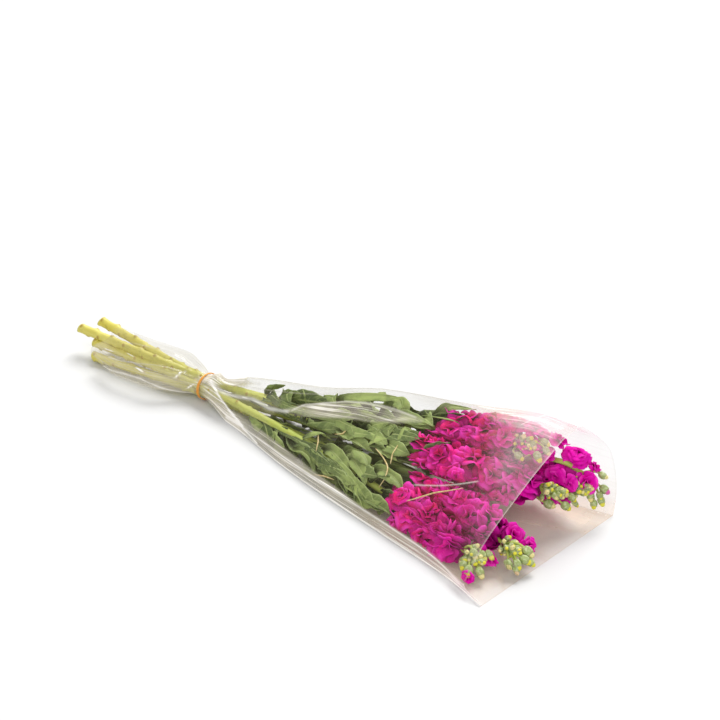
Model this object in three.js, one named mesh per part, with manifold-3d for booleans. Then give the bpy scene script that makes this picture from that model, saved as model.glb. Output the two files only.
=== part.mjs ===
// A bunch of five cut stock flowers lying down in a clear film sleeve, held by one rubber band.
//
// Frame: millimetres, +X along the bunch from the cut ends to the flowers, +Y across it,
// +Z up. The origin is on the surface under the middle of the bunch.

import * as THREE from 'three';
import { mergeVertices } from 'three/addons/utils/BufferGeometryUtils.js';
import Module from 'manifold-3d';

const wasm = await Module();
wasm.setup();

// Driving dimensions

const GAP = 0.3;
const GOLDEN_ANGLE = THREE.MathUtils.degToRad(137.5);

// Each stem is a list of places along it: x, y, z.
// The second one is where the rubber band gathers the bunch.
const BAND = { x: -135, y: -3, z: 15.5, inner: 13.7, outer: 15, width: 4, sides: 24 };
const SLOT_RADIUS = 8;
const slot = (degrees) => {
  const angle = THREE.MathUtils.degToRad(degrees);
  return [BAND.x, BAND.y + SLOT_RADIUS * Math.cos(angle), BAND.z + SLOT_RADIUS * Math.sin(angle)];
};
const STEMS = [
  {
    route: [[-295, -17, 16], slot(162), [20, -25, 22], [150, -41, 20], [225, -58, 21], [280, -67, 17]],
    flowers: [164, 258],
    outward: 195,
  },
  {
    route: [[-284, -28, 7], slot(234), [20, -10, 14], [180, -17, 23], [250, -30, 27], [298, -36, 20]],
    flowers: [172, 276],
    outward: 250,
  },
  {
    route: [[-315, -17, 26], slot(90), [20, 2, 36], [150, 4, 48], [215, 11, 50], [288, 44, 41]],
    flowers: [148, 266],
    outward: 120,
  },
  {
    route: [[-290, 1, 12], slot(306), [20, 20, 15], [190, 47, 26], [250, 63, 34], [298, 72, 36]],
    flowers: [166, 276],
    outward: 330,
  },
  {
    route: [[-305, 4, 29], slot(18), [20, 18, 36], [150, 32, 62], [215, 43, 70], [252, 43, 80]],
    flowers: [154, 232],
    outward: 55,
  },
];
const STEM_RADIUS = [[-315, 5], [-135, 4.1], [20, 3.8], [150, 3.2], [310, 1.6]];
const STEM_SIDES = 7;
const STEM_STEPS = 13;

const LEAF = { count: 6, from: -62, to: 62, length: 92, width: 22, rise: 22, thickness: 0.8, margin: 1.2 };
const BUD = { count: 7, length: 11, radius: 4.2, stalk: 15, stalkRadius: 1.1, sides: 5 };
const FLORET = {
  spacing: 10, radius: 21, lean: 76, lobes: 3, root: 5.2, reach: 15, throat: 3, thickness: 0.8, margin: 1.6,
};
const CORE = { radius: 7, sides: 6, steps: 3 };

// The sleeve is a film cone, gathered at the band and open at both ends.
// Each place along it: x, then the y of its near fold, y and z of its ridge, y of its far foot.
const FILM = { thickness: 0.7, frontShort: 24, opening: 50 };
const SLEEVE_FROM_BAND = [
  [-135, -16, -3, 29, 10],
  [-65, -28, 10, 45, 22],
  [10, -47, 21, 59, 36],
  [77, -60, 37, 77, 50],
  [180, -76, 47, 95, 71],
  [264, -89, 57, 110, 88],
  [315, -103, 64, 109, 100],
];
// Behind the band it is a loose tube: x, then the y and z of its middle, half width, half height.
const SLEEVE_FOOT = [
  [-268, -13, 18.5, 29, 17.5],
  [-235, -15.5, 19, 34, 18.3],
  [-205, -14, 20, 34, 19.5],
  [-178, -10, 20, 31, 19.5],
  [-160, -6, 17.5, 22, 17],
  [-141, -3, 15.5, 13.3, 13.3],
  [-135, -3, 15.5, 13.3, 13.3],
];
const SLEEVE_STATIONS = [
  -268, -235, -205, -178, -158, -141, -129, -105, -65, -15, 45, 110, 175, 240, 285, 315,
];
const SLEEVE_POINTS = { front: 10, far: 6, floor: 4 };

// Numbers drawn from a seed, so that every build is the same

function seeded(seed) {
  let state = seed;
  return (low, high) => {
    state = (Math.imul(state, 1664525) + 1013904223) >>> 0;
    return low + (high - low) * (state / 4294967296);
  };
}

// A smooth curve through rows of numbers whose first entry is x; gives the other entries at x

function through(rows, x) {
  const last = rows.length - 1;
  let k = 0;
  while (k < last - 1 && x > rows[k + 1][0]) {
    k += 1;
  }
  const [from, to] = [rows[k], rows[k + 1]];
  const span = to[0] - from[0];
  const t = THREE.MathUtils.clamp((x - from[0]) / span, 0, 1);
  const slope = (i, entry) => {
    const before = rows[Math.max(i - 1, 0)];
    const after = rows[Math.min(i + 1, last)];
    return (after[entry] - before[entry]) / (after[0] - before[0]);
  };
  return from.slice(1).map((value, i) => {
    const entry = i + 1;
    const rise = to[entry] - value;
    const startSlope = slope(k, entry) * span;
    const endSlope = slope(k + 1, entry) * span;
    const bend = startSlope * t * (1 - t) ** 2 - endSlope * t * t * (1 - t);
    return value + rise * t * t * (3 - 2 * t) + bend;
  });
}

function stemPoint(stem, x) {
  const [y, z] = through(stem.route, x);
  return new THREE.Vector3(x, y, z);
}

// Closed solids

function solid(geometry) {
  const bare = geometry.clone();
  bare.deleteAttribute('normal');
  bare.deleteAttribute('uv');
  const merged = mergeVertices(bare, 1e-4);
  return new wasm.Manifold(new wasm.Mesh({
    numProp: 3,
    vertProperties: new Float32Array(merged.attributes.position.array),
    triVerts: new Uint32Array(merged.index.array),
  }));
}

function geometryFrom(points, faces) {
  const geometry = new THREE.BufferGeometry();
  const positions = points.flatMap((p) => p.toArray());
  geometry.setAttribute('position', new THREE.Float32BufferAttribute(positions, 3));
  geometry.setIndex(faces.flat());
  return geometry;
}

function join(solids) {
  let layer = solids;
  while (layer.length > 1) {
    const next = [];
    for (let k = 0; k < layer.length; k += 2) {
      next.push(k + 1 < layer.length ? layer[k].add(layer[k + 1]) : layer[k]);
    }
    layer = next;
  }
  return layer[0];
}

function largestBody(shape) {
  const bodies = shape.decompose();
  return bodies.reduce((best, body) => (body.volume() > best.volume() ? body : best));
}

// A blade: its upper face, and the same triangles moved by the offsets, walled along the rim

function blade(points, faces, offsets) {
  const count = points.length;
  const lower = points.map((p, i) => p.clone().add(offsets[i]));
  const edges = new Set(faces.flatMap(([a, b, c]) => [`${a},${b}`, `${b},${c}`, `${c},${a}`]));
  const walls = [];
  for (const edge of edges) {
    const [a, b] = edge.split(',').map(Number);
    if (!edges.has(`${b},${a}`)) {
      walls.push([b, a, a + count], [b, a + count, b + count]);
    }
  }
  const under = faces.map(([a, b, c]) => [a + count, c + count, b + count]);
  return solid(geometryFrom([...points, ...lower], [...faces, ...under, ...walls]));
}

// A rod with a round section whose middle and radius are given at each step

function rod(middles, radii, sides) {
  const geometry = new THREE.CylinderGeometry(1, 1, 1, sides, middles.length - 1);
  const position = geometry.attributes.position;
  const last = middles.length - 1;
  for (let i = 0; i < position.count; i += 1) {
    const k = Math.round((0.5 - position.getY(i)) * last);
    const ahead = middles[Math.min(k + 1, last)].clone().sub(middles[Math.max(k - 1, 0)]).normalize();
    const side = new THREE.Vector3(0, 0, 1).cross(ahead);
    if (side.length() < 0.1) {
      side.set(0, 1, 0);
    }
    side.normalize();
    const up = ahead.clone().cross(side);
    const place = middles[k].clone()
      .addScaledVector(side, -position.getX(i) * radii[k])
      .addScaledVector(up, -position.getZ(i) * radii[k]);
    position.setXYZ(i, place.x, place.y, place.z);
  }
  return solid(geometry);
}

// The sleeve's section at x: its near fold, up over the front to the ridge, down the far side,
// and back along the surface that it lies on

function tentSection(x) {
  const [nearY, ridgeY, ridgeZ, farY] = through(SLEEVE_FROM_BAND, x);
  const points = [];
  for (let k = 0; k < SLEEVE_POINTS.front; k += 1) {
    const u = (k / SLEEVE_POINTS.front) ** 1.5;
    points.push([nearY + (ridgeY - nearY) * u, ridgeZ * u ** 0.62]);
  }
  const ridge = new THREE.Vector2(ridgeY, ridgeZ);
  const shoulder = new THREE.Vector2(farY + 0.12 * ridgeZ, 0.56 * ridgeZ);
  const farWall = new THREE.QuadraticBezierCurve(ridge, shoulder, new THREE.Vector2(farY, 0));
  for (let k = 0; k < SLEEVE_POINTS.far; k += 1) {
    points.push(farWall.getPoint(k / SLEEVE_POINTS.far).toArray());
  }
  for (let k = 0; k < SLEEVE_POINTS.floor; k += 1) {
    points.push([farY + (nearY - farY) * (k / SLEEVE_POINTS.floor), 0]);
  }
  return points;
}

function roundSection(x) {
  const [middleY, middleZ, halfWidth, halfHeight] = through(SLEEVE_FOOT, x);
  const over = SLEEVE_POINTS.front + SLEEVE_POINTS.far;
  const points = [];
  for (let k = 0; k < over + SLEEVE_POINTS.floor; k += 1) {
    const degrees = k < over ? 215 - 250 * (k / over) : -35 - 110 * ((k - over) / SLEEVE_POINTS.floor);
    const angle = THREE.MathUtils.degToRad(degrees);
    points.push([middleY + halfWidth * Math.cos(angle), middleZ + halfHeight * Math.sin(angle)]);
  }
  return points;
}

function sleeveSection(x) {
  if (x <= BAND.x) {
    return roundSection(x);
  }
  const tent = tentSection(x);
  const opening = THREE.MathUtils.smoothstep(x, BAND.x + BAND.width, BAND.x + FILM.opening);
  return roundSection(BAND.x).map(([y, z], k) => [
    THREE.MathUtils.lerp(y, tent[k][0], opening),
    THREE.MathUtils.lerp(z, tent[k][1], opening),
  ]);
}

// A closed outline moved inward by a distance, with its corners mitred

function insetOutline(outline, distance) {
  const count = outline.length;
  const inward = (a, b) => {
    const length = Math.hypot(b[0] - a[0], b[1] - a[1]);
    return [(b[1] - a[1]) / length, -(b[0] - a[0]) / length];
  };
  return outline.map((point, k) => {
    const before = inward(outline[(k + count - 1) % count], point);
    const after = inward(point, outline[(k + 1) % count]);
    const share = distance / (1 + before[0] * after[0] + before[1] * after[1]);
    return [point[0] + (before[0] + after[0]) * share, point[1] + (before[1] + after[1]) * share];
  });
}

// The front panel ends a little short of the back panel at the mouth. Past the ridge,
// whose point of the section is SLEEVE_POINTS.front, the film regains its full length

function panelX(x, k, z) {
  const towardMouth = THREE.MathUtils.smoothstep(x, 200, 315);
  const offFloor = THREE.MathUtils.smoothstep(z, 0, 12);
  const pastRidge = THREE.MathUtils.smoothstep(k, SLEEVE_POINTS.front - 1, SLEEVE_POINTS.front + 2);
  return x - FILM.frontShort * towardMouth * offFloor * (1 - pastRidge);
}

function loft(sections) {
  const count = sections[0].length;
  const faces = [];
  for (let s = 0; s + 1 < sections.length; s += 1) {
    for (let k = 0; k < count; k += 1) {
      const [a, b] = [s * count + k, s * count + ((k + 1) % count)];
      faces.push([a, b + count, b], [a, a + count, b + count]);
    }
  }
  return { points: sections.flat(), faces, count };
}

function sleeveSolid() {
  const wall = (inset) => loft(SLEEVE_STATIONS.map((x) => {
    const outline = sleeveSection(x);
    const placed = inset ? insetOutline(outline, inset) : outline;
    return placed.map(([y, z], k) => new THREE.Vector3(panelX(x, k, outline[k][1]), y, z));
  }));
  const outer = wall(0);
  const inner = wall(FILM.thickness);
  const total = outer.points.length;
  const count = outer.count;
  const faces = [...outer.faces];
  for (const [a, b, c] of inner.faces) {
    faces.push([a + total, c + total, b + total]);
  }
  for (let k = 0; k < count; k += 1) {
    const next = (k + 1) % count;
    const end = total - count;
    faces.push([k, next, next + total], [k, next + total, k + total]);
    faces.push([end + next, end + k, end + k + total], [end + next, end + k + total, end + next + total]);
  }
  return solid(geometryFrom([...outer.points, ...inner.points], faces));
}

// The room inside the sleeve that each stem has to itself

const ROOM_ENDS = [-330, 330];
const BETWEEN_STEP = 20;
const BETWEEN_SIDES = [-300, -45, -12, 0, 12, 45, 300];

function closedLoft(sections) {
  const { points, faces, count } = loft(sections);
  const end = points.length - count;
  for (let k = 1; k + 1 < count; k += 1) {
    faces.push([0, k, k + 1], [end, end + k + 1, end + k]);
  }
  return solid(geometryFrom(points, faces));
}

function insideOutline(x) {
  const reach = THREE.MathUtils.clamp(x, SLEEVE_STATIONS[0], SLEEVE_STATIONS.at(-1));
  return insetOutline(sleeveSection(reach), FILM.thickness + GAP);
}

function insideSleeve() {
  return closedLoft([ROOM_ENDS[0], ...SLEEVE_STATIONS, ROOM_ENDS[1]].map((x) => (
    insideOutline(x).map(([y, z]) => new THREE.Vector3(x, y, z))
  )));
}

// All that lies nearer to a neighbour than to the stem

function neighbourSide(stem, neighbour) {
  const sections = [];
  for (let x = ROOM_ENDS[0]; x <= ROOM_ENDS[1]; x += BETWEEN_STEP) {
    const own = stemPoint(stem, x);
    const other = stemPoint(neighbour, x);
    const away = other.clone().sub(own).normalize();
    const along = new THREE.Vector3(0, -away.z, away.y);
    const middle = own.clone().add(other).multiplyScalar(0.5).addScaledVector(away, -GAP / 2);
    const near = BETWEEN_SIDES.map((side) => middle.clone().addScaledVector(along, side));
    const far = [near.at(-1), near[0]].map((p) => p.clone().addScaledVector(away, BETWEEN_SIDES.at(-1)));
    sections.push([...near, ...far]);
  }
  return closedLoft(sections);
}

// How far one can go from the stem at x, in a direction across it, before the film or
// the middle between two stems is reached

function roomAt(stem, x, direction) {
  const own = stemPoint(stem, x);
  let room = Infinity;
  for (const neighbour of STEMS) {
    if (neighbour !== stem) {
      const apart = stemPoint(neighbour, x).sub(own);
      const toward = apart.dot(direction) / apart.length();
      if (toward > 1e-3) {
        room = Math.min(room, (apart.length() / 2 - GAP) / toward);
      }
    }
  }
  const outline = insideOutline(x);
  for (let k = 0; k < outline.length; k += 1) {
    const [ay, az] = outline[k];
    const [by, bz] = outline[(k + 1) % outline.length];
    const cross = (by - ay) * direction.z - (bz - az) * direction.y;
    const ahead = ((by - ay) * (own.z - az) - (bz - az) * (own.y - ay)) / -cross;
    const share = (direction.z * (ay - own.y) - direction.y * (az - own.z)) / -cross;
    if (ahead > 0 && share >= 0 && share <= 1) {
      room = Math.min(room, ahead);
    }
  }
  return room;
}

// A point pressed toward its stem so that it stays within the stem's room. Most of the room
// is free, and what would reach further is drawn in smoothly.

const FREE_SHARE = 0.7;

function pressed(stem, point, margin) {
  const own = stemPoint(stem, point.x);
  const across = point.clone().sub(own);
  const distance = across.length();
  if (distance < 1e-3) {
    return point;
  }
  const direction = across.divideScalar(distance);
  const room = Math.max(roomAt(stem, point.x, direction) - margin, 1);
  const free = FREE_SHARE * room;
  if (distance <= free) {
    return point;
  }
  const kept = free + (room - free) * Math.tanh((distance - free) / (room - free));
  return own.addScaledVector(direction, kept);
}

// A direction that leans from straight ahead (+X) outward at an angle seen along the stem

function leaning(degreesRound, degreesOut) {
  const round = THREE.MathUtils.degToRad(degreesRound);
  const out = THREE.MathUtils.degToRad(degreesOut);
  return new THREE.Vector3(Math.cos(out), Math.sin(out) * Math.cos(round), Math.sin(out) * Math.sin(round));
}

// Leaf: a lance-shaped blade with waved edges, rising from the stem and bending along it.
// The grow value makes it larger all round, for the room that flowers leave about it.

function leafSolid(stem, x, degreesRound, draw, grow) {
  const stations = [0, 0.25, 0.65, 1];
  const widths = [0.16, 0.85, 0.95, 0.1];
  const length = LEAF.length * draw(0.72, 1.1);
  const halfWidth = LEAF.width * draw(0.8, 1.1) / 2;
  const wave = draw(0, Math.PI * 2);
  const round = THREE.MathUtils.degToRad(degreesRound);
  const outward = new THREE.Vector3(0, Math.cos(round), Math.sin(round));
  const sideways = new THREE.Vector3(0, -outward.z, outward.y);
  const points = [];
  const offsets = [];
  const faces = [];
  stations.forEach((t, k) => {
    const out = 1 + LEAF.rise * Math.sin(t * 1.9) * (1 - 0.25 * t);
    const base = stemPoint(stem, x + length * t).addScaledVector(outward, out);
    [-1, 0, 1].forEach((edge) => {
      const ruffle = edge * edge * (3 + 2.2 * Math.sin(wave + 4.4 * k + edge));
      const point = base.clone()
        .addScaledVector(sideways, edge * (halfWidth * widths[k] + grow))
        .addScaledVector(outward, ruffle);
      points.push(pressed(stem, point, LEAF.margin).addScaledVector(outward, grow));
      offsets.push(outward.clone().multiplyScalar(-LEAF.thickness - 2 * grow));
    });
    if (k > 0) {
      const a = 3 * (k - 1);
      faces.push([a, a + 4, a + 3], [a, a + 1, a + 4], [a + 1, a + 5, a + 4], [a + 1, a + 2, a + 5]);
    }
  });
  return blade(points, faces, offsets);
}

// Bud on its stalk: a small pointed egg on a thin neck

function budSolid(stem, x, degreesRound, degreesOut, size, grow) {
  const root = stemPoint(stem, x);
  const direction = leaning(degreesRound, degreesOut);
  const tip = root.clone().addScaledVector(direction, BUD.stalk + BUD.length * size);
  const toward = pressed(stem, tip, BUD.radius * size + 1).sub(root);
  const neck = toward.length() - BUD.length * size;
  const along = [0, neck, neck + 0.42 * BUD.length * size, neck + 0.75 * BUD.length * size];
  const widths = [1.4 * BUD.stalkRadius, BUD.stalkRadius, BUD.radius * size, 0.78 * BUD.radius * size];
  const profile = [
    new THREE.Vector2(0, 0),
    ...along.map((y, k) => new THREE.Vector2(widths[k] + grow, y)),
    new THREE.Vector2(0, toward.length() + grow),
  ];
  const bud = new THREE.LatheGeometry(profile, BUD.sides);
  const lathe = new THREE.Vector3(0, 1, 0);
  bud.applyQuaternion(new THREE.Quaternion().setFromUnitVectors(lathe, toward.normalize()));
  bud.translate(root.x, root.y, root.z);
  return solid(bud);
}

function stemSolid(stem, index, grow) {
  const draw = seeded(101 + 17 * index);
  const [start, end] = [stem.route[0][0], stem.route.at(-1)[0]];
  const middles = [];
  for (let k = 0; k <= STEM_STEPS; k += 1) {
    middles.push(stemPoint(stem, start + (end - start) * (k / STEM_STEPS)));
  }
  const radii = middles.map((p) => through(STEM_RADIUS, p.x)[0] + grow);
  const parts = [rod(middles, radii, STEM_SIDES)];
  for (let k = 0; k < LEAF.count; k += 1) {
    const x = THREE.MathUtils.lerp(LEAF.from, LEAF.to, k / (LEAF.count - 1)) + draw(-6, 6);
    const round = stem.outward + (k % 2 ? 1 : -1) * draw(24, 40);
    parts.push(leafSolid(stem, x, round, draw, grow));
  }
  for (let k = 0; k < BUD.count; k += 1) {
    const share = k / (BUD.count - 1);
    const x = end - 16 * (1 - share) - 11;
    const round = 40 + THREE.MathUtils.radToDeg(GOLDEN_ANGLE) * k;
    parts.push(budSolid(stem, x, round, 62 - 50 * share, draw(0.85, 1.15), grow));
  }
  return join(parts);
}

// Floret: a double flower as one body, built of rings round its axis. From its root a throat
// widens to an outer whorl of ruffled lobes, and an inner, steeper whorl stands in that one.

function floretSolid(stem, x, degreesRound, draw) {
  const axis = leaning(degreesRound, FLORET.lean);
  const side = new THREE.Vector3(0, 0, 1).cross(axis).normalize();
  const up = axis.clone().cross(side);
  const root = stemPoint(stem, x);
  const across = new THREE.Vector3(0, axis.y, axis.z).normalize();
  const reach = Math.min(FLORET.reach, roomAt(stem, x, across) * 0.6);
  const turn = draw(0, Math.PI * 2);
  const count = FLORET.lobes * 3;
  const ring = (point) => Array.from({ length: count }, (_, k) => {
    const angle = turn + (Math.PI * 2 * k) / count;
    const out = side.clone().multiplyScalar(Math.cos(angle)).addScaledVector(up, Math.sin(angle));
    return point(k, out);
  });
  const throat = (height) => ring((k, out) => (
    root.clone().addScaledVector(axis, reach + height).addScaledVector(out, FLORET.throat)
  ));
  const whorl = (height, radius, cupDegrees, shift) => {
    const cup = THREE.MathUtils.degToRad(cupDegrees);
    const normals = [];
    const upper = ring((k, out) => {
      const part = (k + shift) % 3;
      const along = out.clone().multiplyScalar(Math.cos(cup)).addScaledVector(axis, Math.sin(cup));
      const normal = out.clone().multiplyScalar(-Math.sin(cup)).addScaledVector(axis, Math.cos(cup));
      const length = radius * (part === 0 ? 0.6 : draw(0.9, 1.08));
      const ruffle = part === 0 ? 0 : (part === 1 ? 1 : -1) * radius * draw(0.06, 0.18);
      normals.push(normal);
      const point = root.clone().addScaledVector(axis, reach + height)
        .addScaledVector(along, length).addScaledVector(normal, ruffle);
      return pressed(stem, point, FLORET.margin);
    });
    const lower = upper.map((point, k) => point.clone().addScaledVector(normals[k], -FLORET.thickness));
    return { upper, lower };
  };
  const outer = whorl(-1, FLORET.radius, draw(8, 20), 0);
  const inner = whorl(1, FLORET.radius * 0.72, draw(46, 60), 2);
  const rings = [throat(-1.6), outer.lower, outer.upper, throat(0), inner.lower, inner.upper];
  const floor = root.clone().addScaledVector(axis, reach + 0.8);
  const start = root.clone().addScaledVector(axis, FLORET.root);
  const points = [start, ...rings.flat(), floor];
  const faces = [];
  const end = points.length - 1;
  for (let k = 0; k < count; k += 1) {
    const next = (k + 1) % count;
    faces.push([0, next + 1, k + 1], [end, end - count + k, end - count + next]);
    for (let r = 0; r + 1 < rings.length; r += 1) {
      const [a, b] = [1 + r * count + k, 1 + r * count + next];
      faces.push([a, b, b + count], [a, b + count, a + count]);
    }
  }
  return solid(geometryFrom(points, faces));
}

function flowersSolid(stem, index) {
  const draw = seeded(907 + 31 * index);
  const [start, end] = stem.flowers;
  const middles = [];
  for (let k = 0; k <= CORE.steps; k += 1) {
    middles.push(stemPoint(stem, start + (end - start) * (k / CORE.steps)));
  }
  const parts = [rod(middles, middles.map(() => CORE.radius), CORE.sides)];
  const count = Math.round((end - start - 14) / FLORET.spacing) + 1;
  for (let k = 0; k < count; k += 1) {
    const x = THREE.MathUtils.lerp(start + 2, end - 12, k / (count - 1));
    const round = stem.outward + THREE.MathUtils.radToDeg(GOLDEN_ANGLE) * k;
    parts.push(floretSolid(stem, x, round, draw));
  }
  return join(parts);
}

// Rubber band: a flat ring round the film

function bandGeometry() {
  const half = BAND.width / 2;
  const profile = [
    [BAND.inner, -half], [BAND.outer, -half], [BAND.outer, half], [BAND.inner, half], [BAND.inner, -half],
  ].map(([radius, height]) => new THREE.Vector2(radius, height));
  const ring = new THREE.LatheGeometry(profile, BAND.sides);
  ring.rotateZ(-Math.PI / 2);
  ring.translate(BAND.x, BAND.y, BAND.z);
  return ring;
}

// The bunch

const MATERIALS = {
  stem: new THREE.MeshStandardMaterial({ color: '#7f9a52', roughness: 0.65, metalness: 0 }),
  flowers: new THREE.MeshStandardMaterial({ color: '#d01698', roughness: 0.55, metalness: 0 }),
  film: new THREE.MeshStandardMaterial({ color: '#eeeeea', roughness: 0.12, metalness: 0 }),
  band: new THREE.MeshStandardMaterial({ color: '#e6a040', roughness: 0.6, metalness: 0 }),
};

function meshFromSolid(name, shape, material) {
  const { vertProperties, triVerts, numProp } = shape.getMesh();
  const geometry = new THREE.BufferGeometry();
  const positions = new Float32Array((vertProperties.length / numProp) * 3);
  for (let i = 0; i < positions.length / 3; i += 1) {
    positions.set(vertProperties.subarray(i * numProp, i * numProp + 3), i * 3);
  }
  geometry.setAttribute('position', new THREE.BufferAttribute(positions, 3));
  geometry.setIndex(new THREE.BufferAttribute(triVerts, 1));
  geometry.computeVertexNormals();
  const mesh = new THREE.Mesh(geometry, material);
  mesh.name = name;
  return mesh;
}

const bunch = new THREE.Group();
const inside = insideSleeve();
STEMS.forEach((stem, index) => {
  const others = STEMS.filter((other) => other !== stem);
  const room = inside.subtract(join(others.map((other) => neighbourSide(stem, other))));
  const green = largestBody(stemSolid(stem, index, 0).intersect(room));
  const cleared = flowersSolid(stem, index).intersect(room).subtract(stemSolid(stem, index, GAP));
  bunch.add(meshFromSolid(`stem_${index + 1}`, green, MATERIALS.stem));
  bunch.add(meshFromSolid(`flowers_${index + 1}`, largestBody(cleared), MATERIALS.flowers));
});
bunch.add(meshFromSolid('sleeve', sleeveSolid(), MATERIALS.film));
const band = new THREE.Mesh(bandGeometry(), MATERIALS.band);
band.name = 'rubber_band';
bunch.add(band);

export default bunch;
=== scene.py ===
# %% [markdown]
# A wrapped bunch of cut stock.
#
# Five stems of double stock lie in a clear film sleeve. One rubber band holds film and stems.
# The frame below is the solid model of the bunch: the pieces made here take the places of its
# nodes, in the same coordinates, and have the looks that the solids leave out.

# %% The frame
import math

import bpy
import numpy as np
from mathutils import Matrix, Vector


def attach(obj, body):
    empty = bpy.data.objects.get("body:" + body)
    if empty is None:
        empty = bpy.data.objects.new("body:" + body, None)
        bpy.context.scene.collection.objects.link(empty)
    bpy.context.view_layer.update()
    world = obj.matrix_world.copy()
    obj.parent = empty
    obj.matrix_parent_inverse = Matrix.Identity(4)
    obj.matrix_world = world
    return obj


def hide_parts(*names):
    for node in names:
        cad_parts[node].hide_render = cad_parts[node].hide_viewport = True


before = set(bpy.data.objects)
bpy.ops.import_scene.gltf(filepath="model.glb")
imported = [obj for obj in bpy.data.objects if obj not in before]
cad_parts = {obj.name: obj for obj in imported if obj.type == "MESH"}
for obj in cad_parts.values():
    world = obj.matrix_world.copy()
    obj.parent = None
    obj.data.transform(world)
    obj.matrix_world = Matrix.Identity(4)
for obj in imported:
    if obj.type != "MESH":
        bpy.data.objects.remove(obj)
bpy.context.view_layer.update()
MM = 0.001

# %% [markdown]
# The camera.
#
# The photograph looks down on the bunch from the side of the flowers, with a long lens.
# The place of the camera comes first, because what it sees decides where detail matters.

# %% Camera
CAMERA_PLACE = (1.3705, -1.452, 1.2201)
CAMERA_AZIMUTH = 41.706
CAMERA_ELEVATION = 29.386
LENS_MM = 115


def make_camera():
    """A camera that looks along an azimuth and down by an elevation, both in degrees."""
    azimuth, elevation = math.radians(CAMERA_AZIMUTH), math.radians(CAMERA_ELEVATION)
    back = Vector((
        math.sin(azimuth) * math.cos(elevation),
        -math.cos(azimuth) * math.cos(elevation),
        math.sin(elevation),
    ))
    right = Vector((math.cos(azimuth), math.sin(azimuth), 0))
    turn = Matrix((right, back.cross(right), back)).transposed().to_4x4()
    turn.translation = CAMERA_PLACE
    camera = bpy.data.objects.new("camera", bpy.data.cameras.new("camera"))
    camera.data.lens = LENS_MM
    camera.data.clip_end = 50
    camera.matrix_world = turn
    bpy.context.scene.collection.objects.link(camera)
    bpy.context.scene.camera = camera


make_camera()

# %% [markdown]
# Where things grow.
#
# Each stem is a smooth curve through a few places, and everything on it is set out from that
# curve: leaves low down, then the double florets, then the buds at the tip. The same few
# places made the solid model, so the finer pieces here fall where its solids are.

# %% Stems, in millimetres
BAND = {"x": -135, "y": -3, "z": 15.5, "inner": 13.7, "outer": 15, "width": 4}
SLOT_RADIUS = 8
GOLDEN_DEGREES = 137.5
GOLDEN_ANGLE = math.radians(GOLDEN_DEGREES)


def slot(degrees):
    """The place of a stem in the ring of stems that the band holds."""
    angle = math.radians(degrees)
    y, z = SLOT_RADIUS * math.cos(angle), SLOT_RADIUS * math.sin(angle)
    return [BAND["x"], BAND["y"] + y, BAND["z"] + z]


STEMS = [
    {"flowers": (164, 258), "outward": 195, "route": [
        [-295, -17, 16], slot(162), [20, -25, 22], [150, -41, 20], [225, -58, 21], [280, -67, 17]]},
    {"flowers": (172, 276), "outward": 250, "route": [
        [-284, -28, 7], slot(234), [20, -10, 14], [180, -17, 23], [250, -30, 27], [298, -36, 20]]},
    {"flowers": (148, 266), "outward": 120, "route": [
        [-315, -17, 26], slot(90), [20, 2, 36], [150, 4, 48], [215, 11, 50], [288, 44, 41]]},
    {"flowers": (166, 276), "outward": 330, "route": [
        [-290, 1, 12], slot(306), [20, 20, 15], [190, 47, 26], [250, 63, 34], [298, 72, 36]]},
    {"flowers": (154, 232), "outward": 55, "route": [
        [-305, 4, 29], slot(18), [20, 18, 36], [150, 32, 62], [215, 43, 70], [252, 43, 80]]},
]
STEM_RADIUS = [[-315, 5], [-135, 4.1], [20, 3.8], [150, 3.2], [310, 1.6]]


def through(rows, x):
    """A smooth curve through rows whose first entry is x: the other entries at each x."""
    rows = np.asarray(rows, dtype=float)
    x = np.atleast_1d(np.asarray(x, dtype=float))
    places, last = rows[:, 0], len(rows) - 1
    k = np.clip(np.searchsorted(places, x, side="left") - 1, 0, last - 1)
    index = np.arange(last + 1)
    before, after = np.maximum(index - 1, 0), np.minimum(index + 1, last)
    slopes = (rows[after, 1:] - rows[before, 1:]) / (places[after] - places[before])[:, None]
    span = (places[k + 1] - places[k])[:, None]
    t = np.clip((x[:, None] - places[k][:, None]) / span, 0, 1)
    bend = slopes[k] * span * t * (1 - t) ** 2 - slopes[k + 1] * span * t * t * (1 - t)
    return rows[k, 1:] + (rows[k + 1, 1:] - rows[k, 1:]) * t * t * (3 - 2 * t) + bend


def stem_points(stem, x):
    """Points on the middle of a stem, one for each x."""
    x = np.atleast_1d(np.asarray(x, dtype=float))
    return np.column_stack([x, through(stem["route"], x)])


def seeded(seed):
    """Numbers between two limits, drawn in the same order on every run."""
    state = [seed]

    def draw(low, high):
        state[0] = (state[0] * 1664525 + 1013904223) & 0xFFFFFFFF
        return low + (high - low) * state[0] / 4294967296

    return draw


def unit(vectors):
    """The same directions, each with a length of one."""
    return vectors / np.linalg.norm(vectors, axis=1)[:, None]


def circle(sides):
    """Angles all round, evenly spaced."""
    return np.linspace(0, 2 * math.pi, sides, endpoint=False)


# %% [markdown]
# The shape of the sleeve.
#
# A flower sleeve is two film panels sealed along their sides into a flat cone. Filled, it lies
# on its back panel, with a sharp near fold, a ridge along the far side and a front that falls
# from the ridge to the near fold. A section at any x is one closed line. It is needed before
# the flowers, because they are pressed by it.

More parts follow.
